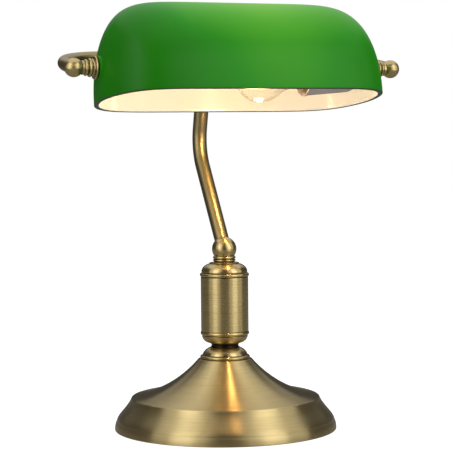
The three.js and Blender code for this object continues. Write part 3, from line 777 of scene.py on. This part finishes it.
foot, top = foot_and_top("seat_washer")
column_piece("seat_washer", "seat_washer_cove", outline(
    [BORE, foot], [13.2, foot],
    bow([13.2, foot + 0.3], [10, foot + 0.7], [9, top]),
    [BORE, top],
), corner=0.15)

foot, top = foot_and_top("seat_beads")
groove = foot + 1.7
column_piece("seat_beads", "seat_double_bead", outline(
    [BORE, foot], [9.4, foot],
    bow([9.4, foot], [11.2, (foot + groove) / 2], [9, groove]),
    bow([9, groove], [11.2, (groove + top) / 2], [9.2, top]),
    [BORE, top],
), corner=0.2)
print("column of seven turned pieces, barrel", round(2 * barrel, 1), "mm across")

# %% [markdown]
# ## Ball, arm and yoke
#
# The ball is turned about the leaning line of the arm, because its socket lies on that line. Its
# flat underside is made by lifting every point that lies too low onto the plane of the flat, which
# keeps a true circle where the sphere meets it. The arm is one bent tube. Its top end is cut to a
# fish mouth that saddles the cross bar: at each angle the cut runs back by the square root of the
# bar's radius squared less the sideways offset squared.

# %% Ball, arm and yoke
ball_low, ball_high = box_mm("knuckle_ball")
BALL_RADIUS, BALL_FLAT = ball_high[0], ball_low[2]
BALL_CENTRE = np.array([0, 0, BALL_FLAT + 5.8])
ARM_RADIUS, ARM_WALL = 6.5, 1.2
ARM_BEND = np.array([0, 60.7, 246.9])
ARM_BEND_RADIUS = 42.5
PIVOT = np.array([146.8, -34.8, 316.7])
YOKE_RADIUS, YOKE_WALL = 5.8, 1.1
YOKE_START, YOKE_DEPTH = 5.5, 77.0
YOKE_RISE = math.radians(8.6)
YOKE_BEND_RADIUS = 59.0
SOCKET_DEPTH = 3.5
ARM_FOOT, ARM_CUT_RUN = 4.0, 8.0
GAP = 0.3

arm_line = (ARM_BEND - BALL_CENTRE) / np.linalg.norm(ARM_BEND - BALL_CENTRE)
socket = ARM_RADIUS + GAP
mouth = math.sqrt(BALL_RADIUS**2 - socket**2)
ball_side = outline(
    arc([0, 0], BALL_RADIUS, -90, math.degrees(math.atan2(mouth, socket)), 48),
    [socket, SOCKET_DEPTH], [0, SOCKET_DEPTH],
)
ball = turned("knuckle_ball_skin", ball_side, BALL_CENTRE, arm_line, closed=False, sides=128,
              corner=0.3)
ball_points = np.empty(len(ball.data.vertices) * 3, np.float32)
ball.data.vertices.foreach_get("co", ball_points)
ball_points[2::3] = np.maximum(ball_points[2::3], BALL_FLAT * MM)
ball.data.vertices.foreach_set("co", ball_points)
dress(ball, "antique_brass", turned_brass, node="knuckle_ball")


def yoke_point(sideways, back):
    """A point of the yoke's sloping plane: sideways, and back from the line of the pivots."""
    return PIVOT * (0, 1, 1) + (sideways, back * math.cos(YOKE_RISE), back * math.sin(YOKE_RISE))


CROSS_BAR = yoke_point(0, YOKE_DEPTH)
bar_radius = YOKE_RADIUS + GAP
top_line = (CROSS_BAR - ARM_BEND) / np.linalg.norm(CROSS_BAR - ARM_BEND)


def fish_mouth(turn, radius):
    """How far each point of the arm's last ring stays back from the middle of the cross bar."""
    return -np.sqrt(np.maximum(bar_radius**2 - (radius * np.sin(turn)) ** 2, 0))


arm_corners = [BALL_CENTRE + ARM_FOOT * arm_line, ARM_BEND, CROSS_BAR - ARM_CUT_RUN * top_line]
arm_path = np.vstack([rounded_path(arm_corners, ARM_BEND_RADIUS), CROSS_BAR])
arm = swept_tube("bent_arm", arm_path, (1, 0, 0), ARM_RADIUS, ARM_WALL, 96, fish_mouth)
dress(arm, "antique_brass", drawn_brass, node="arm_tube")

bow_corners = [yoke_point(-PIVOT[0], YOKE_START), yoke_point(-PIVOT[0], YOKE_DEPTH),
               yoke_point(PIVOT[0], YOKE_DEPTH), yoke_point(PIVOT[0], YOKE_START)]
yoke_square = (0, -math.sin(YOKE_RISE), math.cos(YOKE_RISE))
yoke = swept_tube("yoke_bow", rounded_path(bow_corners, YOKE_BEND_RADIUS), yoke_square,
                  YOKE_RADIUS, YOKE_WALL, 96)
dress(yoke, "antique_brass", drawn_brass, node="yoke_tube")

ring = outline(
    [socket, -15], [7.6, -15],
    bow([7.6, -15], [9.6, -12], [7.6, -9], 14),
    [socket, -9],
)
collar = turned("yoke_ring", ring, CROSS_BAR, top_line, sides=96)
dress(collar, "antique_brass", turned_brass, node="yoke_collar")
print("arm", len(arm.data.polygons), "faces, yoke", len(yoke.data.polygons), "faces")

# %% [markdown]
# ## Pivots
#
# On each side the glass is gripped between two fibre washers by a steel nipple and a hexagon nut.
# Outside it carries a flange, a spacer turned with two rings, and the end ball that takes the yoke.
# All of it is turned about the pivot line, and the heights in the outlines are distances from the
# lamp's middle plane, outwards.

# %% Pivot hardware, left and right
WASHER_RADIUS, NUT_APOTHEM, END_BALL_RADIUS = 9.2, 7.0, 8.0
steel = plain_finish("zinc_plate", (0.62, 0.62, 0.6), (0.4, 0.4, 0.38), 220.0, 0.32, 1.0, 0.00002)
fibre = plain_finish("vulcan_fibre", (0.06, 0.035, 0.022), (0.025, 0.014, 0.01), 260.0, 0.75)


def pivot_piece(side, label, node, name, profile, material=turned_brass, slot="antique_brass", **options):
    """Turns an outline about the pivot line, outwards on the given side."""
    piece = turned(f"{label}_{name}", profile, PIVOT * (0, 1, 1), (side, 0, 0), **options)
    return dress(piece, slot, material, node=f"{label}_{node}")


def ends_of(side, label, node):
    """A node's nearest and furthest distance from the middle plane, on its own side."""
    low, high = box_mm(f"{label}_{node}")
    return sorted((side * low[0], side * high[0]))


def pivot_set(side, label):
    """Everything on one pivot, from the nut inside the glass to the ball outside."""
    inner, outer = ends_of(side, label, "lock_nut")
    pivot_piece(side, label, "lock_nut", "hexagon_nut", block(BORE, NUT_APOTHEM, inner, outer), steel,
                "zinc_steel", corner=0.2, longest=0.25, sides=144,
                radius_at=hexagonal(NUT_APOTHEM, inner, outer, BORE))

    for place in ("inner", "outer"):
        ring_side = block(BORE, WASHER_RADIUS, *ends_of(side, label, f"{place}_washer"))
        pivot_piece(side, label, f"{place}_washer", f"{place}_fibre", ring_side, fibre, "fibre",
                    corner=0.15, longest=1.0)

    inner, outer = ends_of(side, label, "flange")
    pivot_piece(side, label, "flange", "cupped_flange", outline(
        [BORE, inner], [9.2, inner],
        bow([9.2, inner], [10.7, inner + 0.9], [9.4, inner + 1.9]),
        bow([9.4, inner + 1.9], [7, inner + 2.2], [6.8, outer]),
        [BORE, outer],
    ), corner=0.15, longest=1.0)

    inner, outer = ends_of(side, label, "ring_spacer")
    pivot_piece(side, label, "ring_spacer", "two_ring_spacer", outline(
        [BORE, inner], [7, inner],
        bow([7, inner], [8.9, inner + 1.3], [7, inner + 2.6]),
        [6, inner + 2.9], [6, inner + 3.5],
        bow([6, inner + 3.5], [8.1, inner + 4.8], [6, inner + 6.1]),
        [5.9, outer], [BORE, outer],
    ), corner=0.2, longest=1.0)

    thread_side = threaded(3.4, 5.0, *ends_of(side, label, "nipple"))
    pivot_piece(side, label, "nipple", "threaded_tube", thread_side, steel, "zinc_steel", corner=0.05,
                longest=1.0, sides=72)

    reach = math.sqrt(END_BALL_RADIUS**2 - BORE**2)
    ball_ends = outline(
        [0, PIVOT[0]], [BORE, PIVOT[0]],
        arc([0, PIVOT[0]], END_BALL_RADIUS, -math.degrees(math.atan2(reach, BORE)), 90, 44),
    )
    pivot_piece(side, label, "end_ball", "ball", ball_ends, closed=False, corner=0.25, longest=1.0)


def threaded(bore, radius, low, high, pitch=1.0, depth=0.25):
    """Side view of a tube whose outside carries rounded thread crests: radius less a cosine wave."""
    along = np.arange(low, high, pitch / 8)
    crest = radius - depth * (0.5 - 0.5 * np.cos(2 * np.pi * (along - low) / pitch))
    return outline([bore, low], np.stack([crest, along], 1), [radius - depth, high], [bore, high])


for pivot_side, pivot_label in ((-1, "left"), (1, "right")):
    pivot_set(pivot_side, pivot_label)
print("two pivots of seven pieces")

# %% [markdown]
# ## Glass shade
#
# The shade is cased glass: a skin of green over a thicker layer of white, blown into a mould and cut
# off flat. Its form is the upper half of a rounded block, |x/a|^p + |y/b|^q + |z/c|^s = 1. A high
# power along the length gives blunt ends, and powers near two across it give a full round back. Rows
# are spaced evenly along the line over the top, and each row is a closed loop: green outside, ground
# rim, white inside, ground rim.

# %% Shade surface
SHADE_HALF = np.array([126.8, 62.1, 84.1])
SHADE_POWERS = (7.6, 1.75, 2.2)
SHADE_WALL = 4.0
SHADE_PIVOT_HEIGHT = 27.6
SHADE_TILT = math.radians(-8.5)
SHADE_ROWS = 221
SKIN_COLUMNS = 140
RIM_COLUMNS = 7
RIM_CROWN = 0.6
BULB_AXIS = np.array([-math.cos(math.radians(4.5)), 0, -math.sin(math.radians(4.5))])
HOLDER_POINT = np.array([112, PIVOT[1], PIVOT[2]])
FILAMENT = HOLDER_POINT + 94 * BULB_AXIS
GLOW_REACH, DIM_END_LENGTH = 70, 70
SHOULDER_FROM, SHOULDER_RISE = 20, 45
FILAMENT_SHARE, SHOULDER_SHARE = 0.58, 0.5


def top_line_of_block(rows):
    """Fractions x/a and z/c of points spaced evenly along the line over the top of the block."""
    p, _, s = SHADE_POWERS
    t = np.linspace(0, 1, 4000)
    turn = math.pi / 2 * (1 - (1 - t) ** 4)
    x, z = np.cos(turn) ** (2 / p), np.sin(turn) ** (2 / s)
    x[-1] = 0
    steps = np.hypot(np.diff(x) * SHADE_HALF[0], np.diff(z) * SHADE_HALF[2])
    at = np.r_[0, np.cumsum(steps)]
    wanted = np.linspace(0, at[-1], rows // 2 + 1)
    x, z = np.interp(wanted, at, x), np.interp(wanted, at, z)
    return np.r_[-x, x[-2::-1]], np.r_[z, z[-2::-1]]


def half_skin(half, x, z, columns):
    """Loops of one skin: y = b h^(s/q) cos^(2/q), z = c h sin^(2/s), where h is the row's height."""
    _, q, s = SHADE_POWERS
    turn = np.linspace(0, math.pi, columns)
    cosine, sine = np.cos(turn), np.clip(np.sin(turn), 0, 1)
    sine[[0, -1]] = 0
    y = half[1] * z[:, None] ** (s / q) * np.sign(cosine) * np.abs(cosine) ** (2 / q)
    height = half[2] * z[:, None] * sine ** (2 / s)
    return np.stack([np.broadcast_to(half[0] * x[:, None], y.shape), y, height], -1)


def rim_between(start, end):
    """Ground rim from one skin's edge to the other's: straight across, crowned a little downwards."""
    share = 0.5 - 0.5 * np.cos(np.pi * np.arange(1, RIM_COLUMNS + 1) / (RIM_COLUMNS + 1))
    rim = start[:, None] + (end - start)[:, None] * share[None, :, None]
    rim[..., 2] -= RIM_CROWN * np.sqrt(4 * share * (1 - share))
    return rim


def hung_from_pivots(points):
    """From the shade's own axes, with the rim at height 0, to its place on the lamp at rest."""
    y, z = points[..., 1], points[..., 2] - SHADE_PIVOT_HEIGHT
    turned_y = y * math.cos(SHADE_TILT) - z * math.sin(SHADE_TILT)
    turned_z = y * math.sin(SHADE_TILT) + z * math.cos(SHADE_TILT)
    return np.stack([points[..., 0], turned_y + PIVOT[1], turned_z + PIVOT[2]], -1)


x_part, z_part = top_line_of_block(SHADE_ROWS)
outside = half_skin(SHADE_HALF, x_part, z_part, SKIN_COLUMNS)
inside = half_skin(SHADE_HALF - SHADE_WALL, x_part, z_part, SKIN_COLUMNS)[:, ::-1]
loops = np.concatenate([outside, rim_between(outside[:, -1], inside[:, 0]),
                        inside, rim_between(inside[:, -1], outside[:, 0])], axis=1)
glass_grid = hung_from_pivots(loops)
from_filament = np.linalg.norm(glass_grid - FILAMENT, axis=-1)
filament_glow = 1 / (1 + (from_filament / GLOW_REACH) ** 2) ** 1.6
filament_glow /= filament_glow.max()
# Painted light and shade: the shoulders are brightened as if lit from above, and the end far from the
# holder is darkened.
shoulder_painted_light = np.clip((glass_grid[..., 2] - PIVOT[2] - SHOULDER_FROM) / SHOULDER_RISE, 0, 1)
far_end_painted_shade = np.clip((glass_grid[..., 0] + SHADE_HALF[0]) / DIM_END_LENGTH, 0.1, 1)
glow = np.clip(FILAMENT_SHARE * filament_glow + SHOULDER_SHARE * shoulder_painted_light * far_end_painted_shade, 0, 1)
glow *= np.sqrt(far_end_painted_shade)
white_from = SKIN_COLUMNS + RIM_COLUMNS - 1
finish_of_column = np.zeros(loops.shape[1], int)
finish_of_column[SKIN_COLUMNS - 1:] = 2
finish_of_column[white_from:white_from + SKIN_COLUMNS + 1] = 1
finish_of_column[white_from + SKIN_COLUMNS + 1:] = 2
shade = grid_piece("green_shade", glass_grid, {"glow": glow}, False, finish_of_column)
print("shade", len(shade.data.polygons), "faces, glow from", glow.min().round(2), "to 1")

# %% [markdown]
# The green skin is a coloured surface with a soft, satin gloss. The bulb behind it lights the white
# layer, and the yellow-green light that comes through the skin is painted on as a glow: strongest near
# the filament, brighter along the shoulders as painted light from above, and darker at the end far
# from the holder as painted shade.
# The mesh carries the glow as a number, so it doesn't depend on where anybody stands. The skin also
# has faint streaks from the blowing. The white layer is opal glass, smooth and slightly warm. The
# rim is ground, so it is dark and dull.

# %% Glass finishes
def cased_green():
    """Green skin: streaks of thicker and thinner colour, the bulb's light through it painted on as a
    glow, a satin surface.
    """
    finish = Finish("green_cased_glass")
    place = finish.place()
    streaks = finish.noise(place, 9.0, 3.0, 0.5)
    finish.bump(finish.noise(place, 120.0, 2.0, 0.5), 0.00002, 0.4)
    return finish.surface({
        "Base Color": finish.ramp(streaks, (0.3, (0.007, 0.1, 0.002)), (0.7, (0.012, 0.14, 0.004))),
        # Painted light: the glow mark is painted onto the skin as emission.
        "Emission Color": finish.ramp(finish.mark("glow"), (0.0, (0.001, 0.03, 0.0)),
                                      (0.35, (0.009, 0.15, 0.002)), (0.7, (0.07, 0.3, 0.012)),
                                      (1.0, (0.19, 0.44, 0.028))),
        "Emission Strength": 0.9,
        "Roughness": finish.spread(streaks, 0.3, 0.36, 0.3, 0.7),
        "IOR": 1.52,
        "Specular IOR Level": 0.12,
    })


def opal_white():
    """White lining: warm opal glass, lit by the bulb, with more of the bulb's light painted on as a glow.
    """
    finish = Finish("opal_lining")
    cloud = finish.noise(finish.place(), 22.0, 3.0, 0.5)
    return finish.surface({
        "Base Color": finish.ramp(cloud, (0.3, (0.82, 0.78, 0.68)), (0.7, (0.88, 0.84, 0.75))),
        # Painted light: emission stands in for the bulb's light bouncing round inside the shade.
        "Emission Color": finish.ramp(finish.mark("glow"), (0.05, (0.95, 0.74, 0.48)),
                                      (0.6, (0.55, 0.4, 0.22))),
        "Emission Strength": 0.5,
        "Roughness": finish.spread(cloud, 0.16, 0.24, 0.3, 0.7),
    })


def ground_rim():
    """Cut and ground edge: dark green and dull, with the fine chips of grinding."""
    finish = Finish("ground_rim")
    chips = finish.noise(finish.place(), 1500.0, 4.0, 0.7)
    finish.bump(chips, 0.00006)
    return finish.surface({
        "Base Color": finish.ramp(chips, (0.35, (0.006, 0.03, 0.006)), (0.7, (0.02, 0.07, 0.018))),
        "Roughness": finish.spread(chips, 0.3, 0.5, 0.3, 0.7),
    })


dress(shade, "green_cased_glass", cased_green(), opal_white(), ground_rim(), node="shade_glass")
print("shade dressed in", len(shade.data.materials), "finishes")

# %% [markdown]
# Each end wall has a flat ground pad where the pivot washers grip it. A short ring fills the space
# between the washers and the round wall.

# %% Ground pads
PAD_BORE, PAD_RADIUS, PAD_GLOW = 5.5, 9.7, 0.25


def ground_pad(side, label):
    """Ring from the inner washer to the outer one, about the pivot line."""
    inner = ends_of(side, label, "inner_washer")[1] + GAP
    outer = ends_of(side, label, "outer_washer")[0] - GAP
    pad = turned(f"{label}_ground_pad", block(PAD_BORE, PAD_RADIUS, inner, outer), PIVOT * (0, 1, 1),
                 (side, 0, 0), sides=96, corner=0.3, longest=1.0)
    # The pads carry a fixed painted glow in the green skin's emission.
    pad_glow = np.full(len(pad.data.vertices), PAD_GLOW, np.float32)
    pad.data.attributes.new("glow", "FLOAT", "POINT").data.foreach_set("value", pad_glow)
    pad.data.materials.append(shade.data.materials[0])
    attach(pad, "shade")


for pad_side, pad_label in ((-1, "left"), (1, "right")):
    ground_pad(pad_side, pad_label)
print("two pads")

# %% [markdown]
# ## Lampholder and bulb
#
# The bulb lies on its side under the shade, in a holder that hangs from the right-hand pivot and
# droops a little. The holder is a moulded cup and skirt round a ceramic core and a threaded nickel
# sleeve. The bulb is clear: a globe of thin glass drawn out into a neck, a pressed stem, two lead
# wires and a coiled filament.

# %% Lampholder
moulding = plain_finish("grey_moulding", (0.66, 0.61, 0.59), (0.54, 0.5, 0.48), 60.0, 0.38, 0.0,
                        0.00002)
ceramic = plain_finish("glazed_white", (0.8, 0.78, 0.72), (0.68, 0.66, 0.6), 40.0, 0.25)
nickel = plain_finish("nickel_sheet", (0.8, 0.66, 0.46), (0.6, 0.47, 0.3), 90.0, 0.24, 1.0, 0.00001)
HOLDER_RADIUS, HOLDER_LENGTH, HOLDER_CAP_LENGTH = 19.6, 52.0, 12.0
HOLDER_BORE = 5.8
THREAD_OUTER, THREAD_INNER = 14.3, 13.9


def holder_piece(node, name, profile, slot, material, **options):
    """Turns an outline about the drooping axis; heights run from the back end to the bulb."""
    return dress(turned(name, profile, HOLDER_POINT, BULB_AXIS, **options), slot, material, node=node)


wall, edge = 1.5, HOLDER_CAP_LENGTH - GAP
outside_radius, inside_radius = HOLDER_RADIUS, HOLDER_RADIUS - wall
holder_piece("holder_cap", "holder_back", outline(
    [HOLDER_BORE, 0], [8, 0],
    bezier([8, 0], [14, 0.4], [outside_radius, 4], [outside_radius, edge], 30),
    bezier([inside_radius, edge], [inside_radius, 4 + wall], [14 - wall, 0.4 + wall], [8, wall], 24),
    [HOLDER_BORE, wall],
), "grey_holder", moulding, sides=128)
holder_piece("holder_shell", "holder_skirt", outline(
    [HOLDER_RADIUS - 1.4, HOLDER_CAP_LENGTH], [HOLDER_RADIUS, HOLDER_CAP_LENGTH],
    [HOLDER_RADIUS, HOLDER_LENGTH - 2.6], [HOLDER_RADIUS - 0.25, HOLDER_LENGTH - 2.3],
    bow([HOLDER_RADIUS, HOLDER_LENGTH - 2.1], [HOLDER_RADIUS + 0.9, HOLDER_LENGTH - 1.2],
        [HOLDER_RADIUS - 0.2, HOLDER_LENGTH]),
    [HOLDER_RADIUS - 1.4, HOLDER_LENGTH],
), "grey_holder", moulding, sides=128, corner=0.25)
core_back = HOLDER_CAP_LENGTH + 0.5
holder_piece("holder_insert", "ceramic_core", np.array([
    [3, core_back], [17.5, core_back], [17.5, 22], [14.6, 22], [14.6, 20], [3, 20],
]), "white_ceramic", ceramic)
sleeve_along = np.linspace(20.6, 47, 120)
sleeve_wave = 0.2 * np.cos(2 * np.pi * sleeve_along / 3.6)
holder_piece("holder_thread", "threaded_sleeve", outline(
    np.stack([THREAD_INNER - 0.1 + sleeve_wave, sleeve_along], 1),
    np.stack([THREAD_OUTER - 0.1 + sleeve_wave, sleeve_along], 1)[::-1],
), "nickel", nickel, corner=0.05, longest=1.0)
print("holder", HOLDER_LENGTH, "mm long")

# %% [markdown]
# Clear glass that is as thin as a bulb's hardly bends light, so the globe is mostly see-through, and
# denser along its edges, where the eye looks along the wall. The lit filament is a fine coil: a
# circle carried along a helix wound round an arc. Two small warm lamps stand in for its light: a
# weak one at the filament lights the lining, and a stronger one is seen by polished surfaces only,
# as the orange streak down the brass. That one stands just under the globe, clear of the glass. One
# lamp for both would burn the lining out to white.

# %% Bulb
BULB_RADIUS, BULB_CENTRE, BULB_WALL = 22.6, 91.0, 0.8
BULB_NECK_START, NECK_RADIUS = 50.0, 11.2


def clear_glass():
    """Thin clear glass: see-through face on, denser along the edges, with faint seeds."""
    finish = Finish("clear_bulb_glass")
    edge_share = finish.node("LayerWeight", {"Blend": 0.35}).outputs["Facing"]
    seeds = finish.noise(finish.place(), 200.0, 3.0, 0.5)
    finish.bump(seeds, 0.00001, 0.3)
    return finish.surface({
        "Alpha": finish.spread(edge_share, 0.05, 0.62, 0.25, 1.0),
        "Base Color": finish.ramp(seeds, (0.3, (0.55, 0.5, 0.42)), (0.7, (0.75, 0.7, 0.6))),
        "Roughness": 0.05,
        "IOR": 1.5,
    })


def lit_wire():
    """White-hot tungsten, a little uneven along the coil."""
    finish = Finish("lit_tungsten")
    uneven = finish.noise(finish.place(), 900.0, 2.0, 0.5)
    return finish.surface({
        "Emission Color": finish.ramp(uneven, (0.3, (1.0, 0.62, 0.25)), (0.7, (1.0, 0.78, 0.42))),
        "Base Color": (0.3, 0.26, 0.22, 1),
        "Emission Strength": 4.0,
    })


cap_start, cap_rounds, cap_pitch = 25.0, 4, 3.6
cap_along = np.linspace(0, cap_rounds * cap_pitch, 97)
cap_wave = 12.6 + 0.65 * np.abs(np.sin(np.pi * cap_along / cap_pitch))
holder_piece("bulb_cap", "screw_cap", outline(
    [6.2, cap_start], [9.5, cap_start],
    np.stack([cap_wave, cap_start + 3.4 + cap_along], 1),
    [13, BULB_NECK_START], [12.3, BULB_NECK_START], [11.8, cap_start + 4], [6.2, cap_start + 1],
), "nickel", nickel, corner=0.15, longest=1.0)


def globe_side(radius, neck):
    """Side view of one skin of the bulb: the neck flares into a ball."""
    shoulder = 17.5
    meet = BULB_CENTRE - math.sqrt(radius**2 - shoulder**2)
    start = math.degrees(math.atan2(meet - BULB_CENTRE, shoulder))
    return outline(
        bezier([neck, BULB_NECK_START - 2], [neck, 60], [12, 68], [shoulder, meet], 24),
        arc([0, BULB_CENTRE], radius, start, 90, 48),
    )


globe = outline(globe_side(BULB_RADIUS, NECK_RADIUS),
                globe_side(BULB_RADIUS - BULB_WALL, NECK_RADIUS - BULB_WALL)[::-1])
globe[np.abs(globe[:, 0]) < 1e-6, 0] = 0
holder_piece("bulb_glass", "clear_globe", globe, "clear_glass", clear_glass(), corner=0.1, longest=1.5)
holder_piece("bulb_stem", "pressed_stem", outline(
    [0, 50], [9, 50],
    bezier([9, 50], [5, 54], [3.4, 60], [3.2, 74]),
    bow([3.2, 74], [3, 77], [0, 77]),
), "clear_glass", clear_glass(), closed=False, corner=0.3, sides=64)


BULB_FRAME = np.array([np.cross([0, 1, 0], BULB_AXIS), [0, 1, 0], BULB_AXIS])
FILAMENT_HALF, FILAMENT_DISTANCE = 9.0, 92.0
COIL_RADIUS, COIL_PITCH, WIRE_RADIUS = 0.5, 0.62, 0.13
LEAD_RADIUS = 0.35


def on_bulb_axis(points):
    """From (sideways, across, distance) about the drooping axis to the lamp's own axes."""
    return HOLDER_POINT + points @ BULB_FRAME


def coil_about(centre_line, radius, pitch, steps=10):
    """Helix wound round a line: the point on the line plus radius times (cos, sin) of its spokes."""
    lengths = np.r_[0, np.cumsum(np.linalg.norm(np.diff(centre_line, axis=0), axis=1))]
    at = np.linspace(0, lengths[-1], int(lengths[-1] / pitch * steps))
    line = np.stack([np.interp(at, lengths, centre_line[:, k]) for k in range(3)], 1)
    ahead = np.gradient(line, axis=0)
    ahead /= np.linalg.norm(ahead, axis=1)[:, None]
    side = np.broadcast_to([1.0, 0, 0], line.shape)
    across = np.cross(ahead, side)
    turn = 2 * np.pi * at / pitch
    spoke = np.cos(turn)[:, None] * side + np.sin(turn)[:, None] * across
    return line + radius * spoke, spoke


tips = [(0, sideways, FILAMENT_DISTANCE + further)
        for sideways, further in ((-FILAMENT_HALF, 0), (0, 6), (FILAMENT_HALF, 0))]
coil_path, coil_spoke = coil_about(rounded_path(tips, 8.0, 16, 1.0), COIL_RADIUS, COIL_PITCH)
coil = swept_tube("coiled_filament", on_bulb_axis(coil_path), coil_spoke @ BULB_FRAME, WIRE_RADIUS,
                  sides=6)
dress(coil, "lit_filament", lit_wire(), node="bulb_filament")

for lead_side, lead_label in ((-1, "left"), (1, "right")):
    lead_foot = np.array([0, lead_side * 3.9, 70.0])
    lead_tip = np.array([0, lead_side * (FILAMENT_HALF + 0.4), FILAMENT_DISTANCE - 1])
    lead_path = on_bulb_axis(straight(lead_foot, lead_tip, 1.0))
    lead = swept_tube(f"{lead_label}_lead_wire", lead_path, (0, 1, 0), LEAD_RADIUS, sides=16)
    dress(lead, "nickel", nickel, node=f"bulb_lead_{lead_label}")

LAMP_POWER, GLEAM_POWER, LAMP_RADIUS = 0.05, 0.34, 0.008


def filament_light(name, power, colour, drop=0.0, lights_matt_surfaces=True):
    """A small warm lamp, at the filament or some millimetres under it."""
    light = bpy.data.lights.new(name, "POINT")
    light.energy, light.color = power, colour
    light.shadow_soft_size = LAMP_RADIUS
    holder = add_object(name, light)
    holder.location = Vector((FILAMENT - [0, 0, drop]) * MM)
    holder.visible_diffuse = lights_matt_surfaces


filament_light("filament_light", LAMP_POWER, (1.0, 0.7, 0.36))
filament_light("filament_gleam", GLEAM_POWER, (1.0, 0.58, 0.26), BULB_RADIUS + 9, False)
print("coil of", len(coil.data.polygons), "faces, light", LAMP_POWER, "W, gleam", GLEAM_POWER, "W")

# %% [markdown]
# ## Pieces out of sight
#
# The weight, the steel tube with its washer and nut, the contacts and the bulb's insulator keep
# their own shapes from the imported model. They still get real finishes, because the parts can be
# taken apart and looked at.

# %% Finishes for the pieces that keep their shape
cast_iron = plain_finish("cast_iron", (0.07, 0.068, 0.066), (0.03, 0.03, 0.03), 160.0, 0.7, 0.7, 0.0004)
black_glass = plain_finish("black_glass", (0.02, 0.02, 0.025), (0.008, 0.008, 0.01), 120.0, 0.2)
spring_brass = plain_finish("spring_brass", (0.7, 0.52, 0.24), (0.55, 0.4, 0.17), 120.0, 0.3, 1.0)
kept = {
    "base_weight": cast_iron,
    "base_washer": steel,
    "base_lock_nut": steel,
    "central_rod": steel,
    "holder_contact": spring_brass,
    "bulb_insulator": black_glass,
    "bulb_contact": nickel,
}
for node, material in kept.items():
    frame["nodes"][node].data.materials.clear()
    frame["nodes"][node].data.materials.append(material)
bare = [n for n, o in frame["nodes"].items() if not o.hide_render and n not in kept]
print("kept", len(kept), "nodes, replaced", len(made_pieces), "- bare:", bare)

# %% [markdown]
# ## Measure and finish
#
# The dressed lamp has to stay the size of the imported model. The last lines print how far the low and
# high corners of its box lie from those of the imported model.

# %% Size and finish
seen_low, seen_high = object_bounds()
for label, ours, theirs in (("low", seen_low, cad_low), ("high", seen_high, cad_high)):
    print(label, "corner differs by", [round((a - b) / MM, 2) for a, b in zip(ours, theirs)], "mm")
